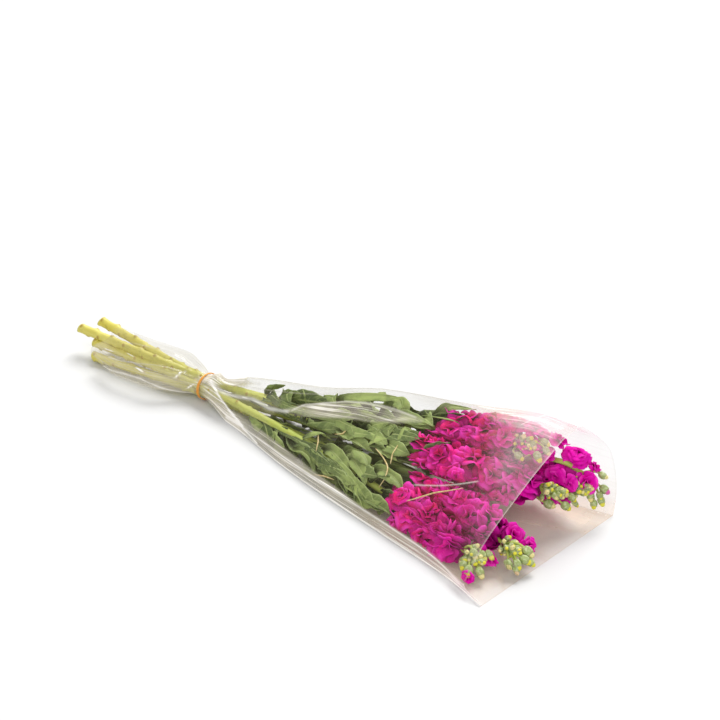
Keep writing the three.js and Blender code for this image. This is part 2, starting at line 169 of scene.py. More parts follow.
# %% Sleeve sections
SLEEVE_FROM_BAND = [
    [-135, -16, -3, 29, 10],
    [-65, -28, 10, 45, 22],
    [10, -47, 21, 59, 36],
    [77, -60, 37, 77, 50],
    [180, -76, 47, 95, 71],
    [264, -89, 57, 110, 88],
    [315, -103, 64, 109, 100],
]
SLEEVE_FOOT = [
    [-268, -13, 18.5, 29, 17.5],
    [-235, -15.5, 19, 34, 18.3],
    [-205, -14, 20, 34, 19.5],
    [-178, -10, 20, 31, 19.5],
    [-160, -6, 17.5, 22, 17],
    [-141, -3, 15.5, 13.3, 13.3],
    [-135, -3, 15.5, 13.3, 13.3],
]
FILM = {"front_short": 24, "opening": 50, "wall": 0.7, "front": 10, "far": 6, "floor": 4}
FAR_FOOT = FILM["front"] + FILM["far"]
ROUND = FAR_FOOT + FILM["floor"]
FOOT_X, MOUTH_X = -268, 315


def smoothstep(value, low, high):
    """0 below low, 1 above high and a smooth rise between them."""
    t = np.clip((value - low) / (high - low), 0, 1)
    return t * t * (3 - 2 * t)


def tent_section(x, k):
    """The sleeve's section where it lies open; k runs from 0 to ROUND along the closed line."""
    near_y, ridge_y, ridge_z, far_y = through(SLEEVE_FROM_BAND, x).T
    front = FILM["front"]
    u = np.clip(k / front, 0, 1) ** 1.5
    rise = np.stack([near_y + (ridge_y - near_y) * u, ridge_z * u ** 0.62])
    t = np.clip((k - front) / FILM["far"], 0, 1)
    shoulder_y, shoulder_z = far_y + 0.12 * ridge_z, 0.56 * ridge_z
    fall = np.stack([
        (1 - t) ** 2 * ridge_y + 2 * t * (1 - t) * shoulder_y + t * t * far_y,
        (1 - t) ** 2 * ridge_z + 2 * t * (1 - t) * shoulder_z,
    ])
    s = np.clip((k - FAR_FOOT) / FILM["floor"], 0, 1)
    back = np.stack([far_y + (near_y - far_y) * s, 0 * s])
    return np.where(k < front, rise, np.where(k < FAR_FOOT, fall, back))


def round_section(x, k):
    """The sleeve's section where it is a loose tube, from the band to its foot."""
    middle_y, middle_z, half_width, half_height = through(SLEEVE_FOOT, x).T
    past = (k - FAR_FOOT) / FILM["floor"]
    angle = np.radians(np.where(k < FAR_FOOT, 215 - 250 * k / FAR_FOOT, -35 - 110 * past))
    return np.stack([middle_y + half_width * np.cos(angle), middle_z + half_height * np.sin(angle)])


def sleeve_points(x, k):
    """y and z of the sleeve's outside at x and k, which are arrays of one length."""
    x, k = np.broadcast_arrays(np.asarray(x, dtype=float), np.asarray(k, dtype=float))
    opening = smoothstep(x, BAND["x"] + BAND["width"], BAND["x"] + FILM["opening"])
    closed = round_section(np.minimum(x, BAND["x"]), k)
    return closed + (tent_section(np.maximum(x, BAND["x"]), k) - closed) * opening


# %% [markdown]
# Pressed flowers.
#
# In the sleeve, each head is squeezed by the film and by its neighbours. The free way from a
# stem outward is worked out once on a grid of places along it and directions round it. Later
# every petal and leaf point that reaches too far is drawn in smoothly, as the film does it.

# %% Room of each stem
ROOM_X = np.linspace(-330, 330, 89)
ROOM_ANGLES = np.linspace(-math.pi, math.pi, 73)
FREE_SHARE = 0.75
FLOOR_GAP = 0.3
# how far inside its room each kind of piece stays, in millimetres
MARGIN = {
    "leaf": 2.2, "leaf on top": 2.0, "floret": 1.2, "cup": 2.5, "bud": 1.2,
    "single floret": 1.0, "open bud": 0.8,
}


def room_grid(stem):
    """How far one can go from a stem, at each place along it and direction round it."""
    own = stem_points(stem, ROOM_X)[:, 1:]
    direction = np.stack([np.cos(ROOM_ANGLES), np.sin(ROOM_ANGLES)], axis=1)
    room = np.full((len(ROOM_X), len(ROOM_ANGLES)), 300.0)
    for neighbour in STEMS:
        if neighbour is stem:
            continue
        apart = stem_points(neighbour, ROOM_X)[:, 1:] - own
        distance = np.linalg.norm(apart, axis=1)
        toward = (apart @ direction.T) / distance[:, None]
        reach = np.where(toward > 1e-3, distance[:, None] / 2 / np.maximum(toward, 1e-3), 300)
        room = np.minimum(room, reach)
    ks = np.linspace(0, ROUND, 81)
    for row, x in enumerate(ROOM_X):
        line = sleeve_points(np.clip(x, FOOT_X, MOUTH_X), ks).T - own[row]
        a, b = line[:-1], line[1:]
        edge = b - a
        cross = edge[:, 0][:, None] * direction[:, 1] - edge[:, 1][:, None] * direction[:, 0]
        cross = np.where(np.abs(cross) < 1e-9, 1e-9, cross)
        ahead = (edge[:, 0] * a[:, 1] - edge[:, 1] * a[:, 0])[:, None] / cross
        share = (direction[:, 0] * a[:, 1][:, None] - direction[:, 1] * a[:, 0][:, None]) / cross
        hit = (ahead > 0) & (share >= 0) & (share <= 1)
        nearest = np.where(hit, ahead, 300).min(axis=0)
        room[row] = np.minimum(room[row], nearest - FILM["wall"])
    return room


for stem in STEMS:
    stem["room"] = room_grid(stem)


def room_at(stem, x, angle):
    """The room read between the grid's places."""
    column = (np.clip(x, ROOM_X[0], ROOM_X[-1]) - ROOM_X[0]) / (ROOM_X[1] - ROOM_X[0])
    row = (angle - ROOM_ANGLES[0]) / (ROOM_ANGLES[1] - ROOM_ANGLES[0])
    i = np.clip(column.astype(int), 0, len(ROOM_X) - 2)
    j = np.clip(row.astype(int), 0, len(ROOM_ANGLES) - 2)
    s, t = column - i, row - j
    grid = stem["room"]
    low = grid[i, j] * (1 - t) + grid[i, j + 1] * t
    high = grid[i + 1, j] * (1 - t) + grid[i + 1, j + 1] * t
    return low * (1 - s) + high * s


def from_stem(stem, points):
    """How points lie off their stem: its place, the way there, the distance, the direction."""
    own = stem_points(stem, points[:, 0])
    across = points - own
    return own, across, np.linalg.norm(across[:, 1:], axis=1), np.arctan2(across[:, 2], across[:, 1])


def pressed(stem, points, margin, full=None):
    """Points drawn toward their stem until they lie in its room.

    Where full is given, all that would reach so far is first squeezed evenly, so that the
    relief of a head stays; what still reaches too far is then drawn in smoothly.
    """
    own, across, distance, angle = from_stem(stem, points)
    distance = np.maximum(distance, 1e-6)
    room = np.maximum(room_at(stem, points[:, 0], angle) - margin, 1)
    squeezed = distance if full is None else distance * np.minimum(room / full, 1)
    free = FREE_SHARE * room
    kept = free + (room - free) * np.tanh(np.maximum(squeezed - free, 0) / (room - free))
    scale = np.where(squeezed > free, kept, squeezed) / distance
    return own + across * scale[:, None]


def openness(stem, points, full):
    """How far out each point lies in the room of its stem: 0 deep inside, 1 at the outside; it sets
    painted shade.
    """
    _, _, distance, angle = from_stem(stem, points)
    room = np.minimum(room_at(stem, points[:, 0], angle), full)
    return smoothstep(distance / np.maximum(room, 1), 0.3, 0.92)


def off_floor(points):
    """The same points, none of them lower than the back panel of the film allows."""
    points[:, 2] = np.maximum(points[:, 2], FILM["wall"] + FLOOR_GAP)
    return points


print("room round stem 1, mm:", round(float(STEMS[0]["room"].min()), 1), "at the tightest")

# %% [markdown]
# Meshes and finishes.
#
# Pieces are built from arrays of points. One helper makes the mesh, and each point can carry
# numbers, such as how far along a petal it lies, that the finish reads later as attributes.
# Parts gathers many small shapes, such as the leaves of one stem, into one piece.

# %% Mesh helpers


def add_number(mesh, label, values):
    """Give each point of a mesh one named number."""
    attribute = mesh.attributes.new(label, "FLOAT", "POINT")
    attribute.data.foreach_set("value", np.asarray(values, dtype=np.float32))


def make_mesh(name, points, faces, numbers=None):
    """A smooth mesh from points in millimetres, with one named number per point where given."""
    mesh = bpy.data.meshes.new(name)
    mesh.from_pydata((np.asarray(points) * MM).tolist(), [], [list(map(int, face)) for face in faces])
    for label, values in (numbers or {}).items():
        add_number(mesh, label, values)
    mesh.shade_smooth()
    return mesh


class Parts:
    """Small shapes gathered into one: their points, faces and numbers."""

    def __init__(self):
        self.points, self.faces, self.numbers = [], [], {}

    def add(self, points, faces, **numbers):
        start = sum(len(part) for part in self.points)
        self.points.append(points)
        self.faces += [tuple(start + corner for corner in face) for face in faces]
        for label, values in numbers.items():
            self.numbers.setdefault(label, []).append(np.broadcast_to(values, len(points)))

    def joined(self):
        numbers = {label: np.concatenate(values) for label, values in self.numbers.items()}
        return np.vstack(self.points), self.faces, numbers


def grid_faces(rows, columns, closed=False):
    """Quads of a grid of points, row after row; closed joins the last column to the first."""
    faces = []
    for r in range(rows - 1):
        for c in range(columns if closed else columns - 1):
            a, b = r * columns + c, r * columns + (c + 1) % columns
            faces.append((a, b, b + columns, a + columns))
    return faces


def tube_faces(rings, sides):
    """The faces of a tube made of rings of points, with both ends closed."""
    ring = tuple(range(sides))
    last = tuple((rings - 1) * sides + c for c in ring)
    return grid_faces(rings, sides, closed=True) + [ring[::-1], last]


def swept(middle, radii, sides):
    """Points of a round tube along a line of points, one ring for each of them."""
    along = unit(np.gradient(middle, axis=0))
    first = unit(np.cross(along, (0.0, 0.3, 1.0)))
    second = np.cross(along, first)
    angle = circle(sides)[None, :, None]
    radii = np.asarray(radii, dtype=float).reshape(len(middle), -1, 1)
    ring = (
        middle[:, None, :]
        + radii * np.cos(angle) * first[:, None, :]
        + radii * np.sin(angle) * second[:, None, :]
    )
    return ring.reshape(-1, 3)


def place(name, mesh, finish=None):
    """A scene object that shows a mesh, at the origin, with one finish."""
    piece = bpy.data.objects.new(name, mesh)
    bpy.context.scene.collection.objects.link(piece)
    if finish is not None:
        mesh.materials.clear()
        mesh.materials.append(finish)
    return piece


def evaluated(piece):
    """The mesh that a piece's modifiers make."""
    depsgraph = bpy.context.evaluated_depsgraph_get()
    return bpy.data.meshes.new_from_object(
        piece.evaluated_get(depsgraph), preserve_all_data_layers=True, depsgraph=depsgraph
    )


def with_thickness(piece, thickness):
    """The same piece as a thin closed solid; its modifier is applied."""
    modifier = piece.modifiers.new("thickness", "SOLIDIFY")
    modifier.thickness, modifier.offset = thickness * MM, 0
    mesh = evaluated(piece)
    piece.modifiers.clear()
    piece.data = mesh
    mesh.name = piece.name
    return piece


# %% [markdown]
# Finishes are written as sums.
#
# A finish mixes colours by masks, and a mask is arithmetic on a few numbers. The class Value
# wraps a socket so that the arithmetic reads as Python, and one function adds any other node.
# The colour of a finish is built up in coats, as paint is.

# %% Shader maths


def feed(tree, socket, item):
    """Put a number, a colour or what another node gives into a socket."""
    item = item.socket if isinstance(item, Value) else item
    if isinstance(item, bpy.types.NodeSocket):
        tree.links.new(item, socket)
    else:
        socket.default_value = item


def add_node(tree, kind, settings=None, sockets=None):
    """The outputs of a new node, once its settings and sockets are filled."""
    node = tree.nodes.new(kind)
    for key, value in (settings or {}).items():
        setattr(node, key, value)
    for key, item in (sockets or {}).items():
        feed(tree, node.inputs[key], item)
    return node.outputs


class Value:
    """A number that changes over a surface; arithmetic on it adds Math nodes."""

    def __init__(self, tree, socket):
        self.tree, self.socket = tree, socket

    def math(self, operation, *items, clamp=False):
        settings = {"operation": operation, "use_clamp": clamp}
        outputs = add_node(self.tree, "ShaderNodeMath", settings, dict(enumerate(items)))
        return Value(self.tree, outputs[0])

    def __add__(self, other):
        return self.math("ADD", self, other)

    def __sub__(self, other):
        return self.math("SUBTRACT", self, other)

    def __rsub__(self, other):
        return self.math("SUBTRACT", other, self)

    def __mul__(self, other):
        return self.math("MULTIPLY", self, other)

    __radd__, __rmul__ = __add__, __mul__

    def clamped(self):
        return self.math("ADD", self, 0, clamp=True)

    def between(self, low, high):
        """0 where the number is low, 1 where it is high, with a smooth rise."""
        sockets = {"From Min": low, "From Max": high, "Value": self}
        smooth = {"interpolation_type": "SMOOTHSTEP"}
        return Value(self.tree, add_node(self.tree, "ShaderNodeMapRange", smooth, sockets)[0])


class Finish:
    """A material round one Principled shader."""

    def __init__(self, name, **uniform):
        self.material = bpy.data.materials.new(name)
        self.material.use_nodes = True
        self.tree = self.material.node_tree
        self.colour = None
        for socket, value in uniform.items():
            self.set(socket.replace("_", " "), value)

    def node(self, kind, settings=None, sockets=None):
        return add_node(self.tree, kind, settings, sockets)

    def set(self, socket, item):
        feed(self.tree, self.tree.nodes["Principled BSDF"].inputs[socket], item)

    def attributes(self, *names):
        """The numbers that the points of a mesh carry under these names."""
        outputs = [self.node("ShaderNodeAttribute", {"attribute_name": name}) for name in names]
        return [Value(self.tree, output["Fac"]) for output in outputs]

    def noise(self, scale, detail=2.0, stretch=(1, 1, 1), vector=None):
        if vector is None:
            vector = self.node("ShaderNodeTexCoord")["Object"]
        mapped = self.node("ShaderNodeMapping", sockets={"Vector": vector, "Scale": stretch})[0]
        sockets = {"Vector": mapped, "Scale": scale, "Detail": detail}
        return Value(self.tree, self.node("ShaderNodeTexNoise", sockets=sockets)["Fac"])

    def streaks(self, along, across, detail):
        """Noise in streaks that run along a petal, a leaf or the film."""
        vector = self.node("ShaderNodeCombineXYZ", sockets={0: along, 1: across})[0]
        return self.noise(1.0, detail, vector=vector)

    def mix(self, mask, first, second):
        """A colour that goes from first to second as the mask goes from 0 to 1."""
        sockets = {"Factor": mask, 6: first, 7: second}
        return self.node("ShaderNodeMix", {"data_type": "RGBA"}, sockets)[2]

    def coat(self, mask, red, green, blue):
        """Lay a colour over the colour so far, as strongly as the mask says."""
        self.colour = self.mix(mask, self.colour, rgb(red, green, blue))

    def done(self, height, strength, distance):
        """The material, once its colour and a bump from a height are in place."""
        self.set("Base Color", self.colour)
        sockets = {"Height": height, "Strength": strength, "Distance": distance}
        self.set("Normal", self.node("ShaderNodeBump", sockets=sockets)[0])
        return self.material


def rgb(*screen):
    """A colour from the 0 to 255 values that a screen shows."""
    shares = [value / 255 for value in screen]
    linear = [c / 12.92 if c <= 0.04045 else ((c + 0.055) / 1.055) ** 2.4 for c in shares]
    return (*linear, 1.0)


def grainy_finish(name, roughness, scale, limits, colours, strength):
    """A finish with a fine grain between two colours."""
    finish = Finish(name, Roughness=roughness)
    grain = finish.noise(scale, 3.0)
    finish.colour = finish.mix(grain.between(*limits), rgb(*colours[0]), rgb(*colours[1]))
    return finish.done(grain, strength, 0.0003)


# %% [markdown]
# Petals are thin and velvety, drawn with faint streaks from claw to edge. Each petal carries its
# own tone, because in a head some are fresh and bluish and others are redder. Painted shade makes
# each petal darker at the claw and what lies deep in a head dark, and a painted highlight
# brightens the outer ends of the petals that lie outside.

# %% Petal finish


def petal_finish():
    finish = Finish("petal magenta", Roughness=0.6, Specular_IOR_Level=0.15)
    along, tone, across, outer, fresh = finish.attributes("along", "tone", "across", "open", "fresh")
    streak, highlight_patches = finish.streaks(along * 3.0, across * 22.0, 2.0), finish.noise(70.0)
    finish.colour = finish.mix(tone.between(0.0, 1.0), rgb(238, 4, 118), rgb(240, 8, 172))
    finish.coat(fresh, 238, 4, 184)
    finish.coat(streak.between(0.45, 0.7) * 0.35, 164, 0, 90)
    # painted shade: each petal is darker toward its claw, deep in its floret
    finish.coat((1 - along).between(0.45, 1.0) * 0.7, 146, 0, 74)
    # painted highlight: lighter patches on the outer ends of petals that lie outside the head
    finish.coat(along.between(0.55, 1.0) * outer * highlight_patches.between(0.4, 0.62) * 0.8, 255, 72, 206)
    # painted shade: what lies deep in the head is darker
    finish.coat((1 - outer) * 0.72, 96, 0, 52)
    return finish.done(streak, 0.2, 0.0003)


PETAL = petal_finish()

# %% [markdown]
# Leaves are matt grey-green, with a pale rib down the middle and faint side veins; painted shade
# darkens their bases and what lies deep in the bunch. Stems are yellow-green at the cut and greener
# higher up. Buds are grey-green with yellow, cream or pink tips. The band and the strands have only
# a fine grain, and share the plain recipe above.

# %% Leaf, stem and bud finishes


def leaf_finish():
    inside = {"Subsurface_Weight": 0.05, "Subsurface_Radius": (0.001, 0.003, 0.0006)}
    finish = Finish("leaf grey green", Roughness=0.6, **inside)
    along, across, tone, outer = finish.attributes("along", "across", "tone", "open")
    edge = across.math("ABSOLUTE", across)
    rib = (1 - edge.between(0.0, 0.12)) * (1 - along * 0.5)
    side_veins = finish.streaks((along + edge * -0.12) * 34.0, across * 0.5, 1.0)
    finish.colour = finish.mix(tone, rgb(40, 66, 22), rgb(178, 196, 110))
    finish.coat(finish.noise(90.0, 4.0).between(0.4, 0.7) * 0.55, 60, 82, 30)
    finish.coat(side_veins.between(0.5, 0.66) * 0.34, 160, 174, 100)
    finish.coat(rib * 0.9, 196, 208, 132)
    finish.coat(edge.between(0.8, 1.0) * 0.3, 188, 204, 130)
    # painted shade: each leaf is darker at its base, where it meets the stem
    finish.coat((1 - along).between(0.62, 0.95) * 0.65, 46, 62, 24)
    # painted shade: what lies deep in the bunch is darker
    finish.coat((1 - outer) * 0.85, 30, 40, 18)
    return finish.done(side_veins + rib, 0.4, 0.0006)


def stem_finish():
    finish = Finish("stem yellow green", Roughness=0.5)
    upward, scar, cut = finish.attributes("upward", "scar", "cut")
    fibre, patch = finish.noise(60.0, 3.0, stretch=(0.15, 3, 3)), finish.noise(120.0, 3.0)
    finish.colour = finish.mix(upward.between(0.0, 0.62), rgb(214, 202, 90), rgb(170, 186, 78))
    finish.coat(fibre.between(0.45, 0.75) * 0.4, 232, 226, 142)
    finish.coat(patch.between(0.56, 0.7) * 0.5, 176, 168, 74)
    finish.coat(scar.between(0.3, 0.9) * 0.8, 164, 128, 52)
    finish.coat(cut, 226, 226, 176)
    return finish.done(fibre + patch, 0.4, 0.0008)


def bud_finish():
    finish = Finish("bud grey green", Roughness=0.6)
    along, tone, across = finish.attributes("along", "tone", "across")
    down = finish.noise(500.0, 3.0)
    calyx = finish.mix(down.between(0.4, 0.7) * 0.6, rgb(156, 172, 102), rgb(222, 228, 186))
    calyx = finish.mix(along.between(0.6, 0.72) * 0.35, calyx, rgb(176, 140, 124))
    tip = finish.mix(tone.between(0.6, 0.75), rgb(232, 226, 58), rgb(238, 226, 156))
    tip = finish.mix(tone.between(0.88, 0.92), tip, rgb(224, 92, 176))
    tip = finish.mix(down.between(0.45, 0.65) * 0.3, tip, rgb(170, 176, 60))
    tip = finish.mix(along.between(0.94, 1.0) * 0.5, tip, rgb(170, 140, 70))
    green = finish.mix(across.between(0.3, 0.7), rgb(180, 194, 94), calyx)
    finish.colour = finish.mix(across.between(0.2, 0.6) * along.between(0.72, 0.78), green, tip)
    return finish.done(down, 0.4, 0.0005)


LEAF_FINISH, STEM_FINISH, BUD_FINISH = leaf_finish(), stem_finish(), bud_finish()

# %% [markdown]
# Stems.
#
# A stem is a tapered tube along its curve. The lower leaves were stripped off, which leaves
# small raised scars in a spiral, and the end is a slanting cut. The tube's radius is a formula
# of place and angle, so that the scars are part of the surface.

# %% Stem tubes
STALK = {"sides": 24, "steps": 420, "stripped_to": -60, "slant": 2.0, "slant_fades_in": 4}
SCAR = {"gap": 8, "height": 2.0, "size": 2.4, "radius": 4.5}


def scars_on(x, angle, draw):
    """The leaf scars, 1 on a scar and 0 beside it, and the turn after the last of them."""
    scar = np.zeros((len(x), len(angle)))
    place_x, turn = x[0] + 5, draw(0, 6)
    while place_x < STALK["stripped_to"]:
        gap_x = (x - place_x)[:, None] / SCAR["size"]
        gap_a = np.angle(np.exp(1j * (angle - turn)))[None, :] * SCAR["radius"] / SCAR["size"]
        scar = np.maximum(scar, np.exp(-(gap_x ** 2 + gap_a ** 2)))
        place_x += SCAR["gap"] * draw(0.6, 1.3)
        turn += GOLDEN_ANGLE
    return scar, turn


def stem_tube(stem, index):
    """One stem as a tube from its slanting cut to its tip."""
    rows, columns = STALK["steps"] + 1, STALK["sides"]
    x, angle = np.linspace(stem["route"][0][0], stem["route"][-1][0], rows), circle(columns)
    scar, turn = scars_on(x, angle, seeded(300 + index))
    middle, from_cut = stem_points(stem, x), (x - x[0])[:, None]
    swell = 1 + 0.05 * np.sin(3 * angle + index) + 0.16 * np.exp(-from_cut / 5)
    swell = swell + 0.05 * np.sin(x / 3.1 + index)[:, None] * np.sin(2 * angle + x[:, None] / 9)
    full = through(STEM_RADIUS, x) * swell + SCAR["height"] * scar
    slant = STALK["slant"] * np.exp(-from_cut / STALK["slant_fades_in"])
    points = np.stack([
        x[:, None] + slant * np.cos(angle - turn) + slant,
        middle[:, 1:2] + full * np.cos(angle),
        middle[:, 2:] + full * np.sin(angle),
    ], axis=2).reshape(-1, 3)
    ends = [points[:columns].mean(axis=0), points[-columns:].mean(axis=0) + (0.8, 0, 0)]
    faces, top = grid_faces(rows, columns, closed=True), (rows - 1) * columns
    for c in range(columns):
        beside = (c + 1) % columns
        faces += [(len(points), beside, c), (len(points) + 1, top + c, top + beside)]
    numbers = {
        "upward": np.append(np.repeat((x + 315) / 630, columns), [0, 1]),
        "scar": np.append(scar, [0, 0]),
        "cut": np.append(np.repeat(x <= x[0], columns), [1, 0]),
    }
    mesh = make_mesh(f"stalk_{index + 1}", np.vstack([points, ends]), faces, numbers)
    mesh.flip_normals()
    return place(f"stalk_{index + 1}", mesh, STEM_FINISH)


stalks = [stem_tube(stem, index) for index, stem in enumerate(STEMS)]
print("stalk points:", len(stalks[0].data.vertices))

# %% [markdown]
# Leaves.
#
# Stock has lance-shaped leaves that rise from the stem and lie along it. Most of them come from
# seeded draws along the stem, more are placed one by one, and those on top pass through places read
# from the photograph. The last ones are small and lie close under the florets.

# %% Leaves
LEAF_ROWS, LEAF_COLUMNS = 17, 9
LEAF_T, LEAF_EDGE = np.linspace(0, 1, LEAF_ROWS), np.linspace(-1, 1, LEAF_COLUMNS)
LEAF_NUMBERS = {"along": np.repeat(LEAF_T, LEAF_COLUMNS), "across": np.tile(LEAF_EDGE, LEAF_ROWS)}
THICKNESS = {"leaf": 0.5, "petal": 0.3}
LEAF_WIDTHS = [[0, 0.2], [0.2, 0.72], [0.45, 1.0], [0.72, 0.82], [1, 0.03]]
LEAVES = {"count": 34, "from": -66, "over": 216, "spread": 220, "calm_from": 132}
ON_TOP = {"wider": 1.08, "root_behind": 14}
LEAVES_ON_TOP = [
    # stem, width, then the places it passes; it starts at the stem
    (4, 13, [(36, 23, 61), (58, 28, 69), (80, 33, 74), (96, 34, 76), (110, 26, 70)]),
    (4, 13, [(92, 32, 72), (102, 32, 74), (110, 28, 68), (113, 24, 61)]),
    (4, 13, [(150, 42, 82), (158, 47, 87), (172, 48, 90), (184, 49, 92)]),
    (2, 17, [(14, -20, 25), (32, -18, 33), (48, -12, 40), (58, -9, 42)]),
    (0, 14, [(61, -28, 29), (76, -33, 30), (90, -38, 28), (100, -42, 24)]),
    (0, 13, [(92, -30, 32), (106, -36, 32), (118, -42, 29), (126, -48, 24)]),
    (0, 13, [(128, -31, 35), (144, -33, 38), (158, -37, 37), (168, -42, 33)]),
    (2, 14, [(88, 8, 56), (102, 8, 60), (114, 6, 62), (124, 2, 60)]),
    (2, 13, [(114, 14, 58), (126, 16, 61), (136, 19, 61), (146, 20, 58)]),
    (1, 18, [(108, 14, 15), (122, 18, 16), (136, 20, 16), (150, 20, 14)]),
    (2, 15, [(108, -12, 47), (108, -6, 53), (106, 1, 57), (102, 7, 58)]),
    (2, 16, [(134, -4, 56), (133, 4, 63), (131, 14, 68), (129, 24, 71)]),
    (0, 16, [(15, -33, 16), (33, -38, 18), (48, -43, 16), (60, -48, 10)]),
    (0, 15, [(76, -46, 16), (88, -50, 19), (100, -53, 18), (110, -57, 13)]),
    (0, 18, [(101, -49, 16), (117, -55, 16), (128, -58, 14), (137, -62, 8)]),
    (0, 16, [(128, -55, 15), (144, -59, 17), (158, -60, 18), (171, -62, 17)]),
    (2, 14, [(24, -4, 38), (40, -1, 45), (52, 6, 52), (63, 12, 55)]),
    (2, 15, [(62, -10, 42), (82, -15, 43), (100, -20, 42), (115, -25, 38)]),
    (0, 13, [(84, -20, 37), (98, -23, 40), (110, -28, 38), (118, -34, 33)]),
    (2, 14, [(115, 9, 59), (128, 8, 62), (137, 11, 65), (143, 15, 67)]),
    (1, 17, [(112, -6, 24), (126, -2, 26), (142, -3, 29), (158, -8, 30)]),
    (2, 12, [(118, -14, 46), (128, -18, 46), (138, -24, 44), (144, -30, 40)]),
    (2, 14, [(120, 0, 40), (134, -4, 38), (148, -10, 34), (160, -15, 32)]),
    (1, 14, [(136, -16, 26), (150, -14, 29), (165, -14, 31), (178, -15, 32)]),
]
TOWARD_TOP = (0.45, -0.5, 0.74)
PLACED_LEAVES = [
    # stem, x, degrees round, length, width, lean, bend, twist, roll
    (4, 8, 84, 104, 20, 22, -34, -10, 10),
    (4, 108, 78, 82, 18, 26, -40, 12, 0),
    (4, -46, 110, 84, 20, 30, -30, 10, 15),
    (2, -40, 128, 60, 20, 44, -60, 14, -10),
    (2, 4, 150, 52, 20, 60, -80, -24, 20),
    (2, 34, 112, 56, 19, 56, -80, 30, -25),
    (2, 60, 172, 46, 18, 62, -80, -30, 14),
    (2, 84, 120, 44, 19, 64, -84, 34, 10),
    (2, 92, 178, 48, 18, 50, -60, 16, 25),
    (0, -44, 150, 60, 19, 42, -50, 16, -10),
    (0, -8, 168, 54, 20, 52, -70, -20, 18),
    (0, 30, 140, 52, 20, 60, -84, 28, -20),
    (0, 52, 186, 50, 18, 50, -60, -24, 14),
    (0, 74, 150, 48, 19, 60, -84, 20, 24),
    (0, 84, 205, 46, 18, 52, -60, 24, -10),
    (4, 132, 70, 66, 17, 30, -36, -10, 12),
    (4, 96, 120, 58, 19, 46, -56, 20, 12),
    (2, 108, 110, 50, 20, 58, -70, -14, -12),
    (2, 112, 150, 46, 19, 60, -74, 12, 20),
    (0, 104, 175, 52, 20, 50, -60, 20, 12),
    (0, 112, 220, 50, 19, 44, -50, -12, -10),
    (1, 112, 150, 60, 20, 50, -60, 14, 0),
    (1, 20, 170, 80, 20, 40, -50, -14, 10),
    (1, 66, 190, 74, 21, 36, -44, 10, -15),
]


def ripple(height, phase, along, across):
    """Waves that grow toward both edges of a leaf."""
    return height * LEAF_EDGE ** 2 * np.sin(phase + along * LEAF_T[:, None] + across * LEAF_EDGE)


def blade(stem, middle, across, face, width, wave, ruffle, margin):
    """A leaf's points: a folded, rippled blade along a line, pressed into the stem's room."""
    half = width / 2 * through(LEAF_WIDTHS, LEAF_T)[:, 0] * (1 + 0.07 * np.sin(27 * LEAF_T + wave))
    fold = 0.5 * np.abs(LEAF_EDGE) * half[:, None]
    points = (
        middle[:, None, :]
        + (LEAF_EDGE * half[:, None])[:, :, None] * across[:, None, :]
        + (fold + ruffle)[:, :, None] * face[:, None, :]
    )
    return pressed(stem, points.reshape(-1, 3), margin)


def leaf_points(stem, x, degrees_round, length, width, lean, bend, twist, roll, wave):
    """Points of one leaf: it leaves the stem at the lean angle and bends on its way."""
    angle, turn = np.radians(lean + bend * LEAF_T), np.radians(degrees_round + twist * LEAF_T)
    step, zero = length / (LEAF_ROWS - 1), np.zeros(LEAF_ROWS)
    ahead = x + (np.cumsum(np.cos(angle)) - np.cos(angle[0])) * step
    out = 2 + (np.cumsum(np.sin(angle)) - np.sin(angle[0])) * step
    outward = np.stack([zero, np.cos(turn), np.sin(turn)], axis=1)
    sideways = np.stack([zero, -np.sin(turn), np.cos(turn)], axis=1)
    normal = outward * np.cos(angle)[:, None]
    normal[:, 0] = -np.sin(angle)
    tilt = np.radians(roll * np.sin(LEAF_T * 2.4))[:, None]
    across = sideways * np.cos(tilt) + normal * np.sin(tilt)
    face = normal * np.cos(tilt) - sideways * np.sin(tilt)
    middle = stem_points(stem, ahead) + outward * out[:, None]
    ruffle = ripple(1.5, wave, 9, 2) + ripple(0.8, 2 * wave, 19, -2.5)
    return blade(stem, middle, across, face, width, wave, ruffle, MARGIN["leaf"])


def leaf_through(stem, width, route, wave):
    """Points of a leaf that lies on top: it leaves the stem and passes the given places."""
    places = np.vstack([stem_points(stem, route[0][0] - ON_TOP["root_behind"]), route])
    middle = through(np.column_stack([np.linspace(0, 1, len(places)), places]), LEAF_T)
    along = unit(np.gradient(middle, axis=0))
    across = unit(np.cross(along, TOWARD_TOP))
    face, ruffle = np.cross(across, along), ripple(1.3, wave, 8, 2)
    return blade(stem, middle, across, face, width, wave, ruffle, MARGIN["leaf on top"])


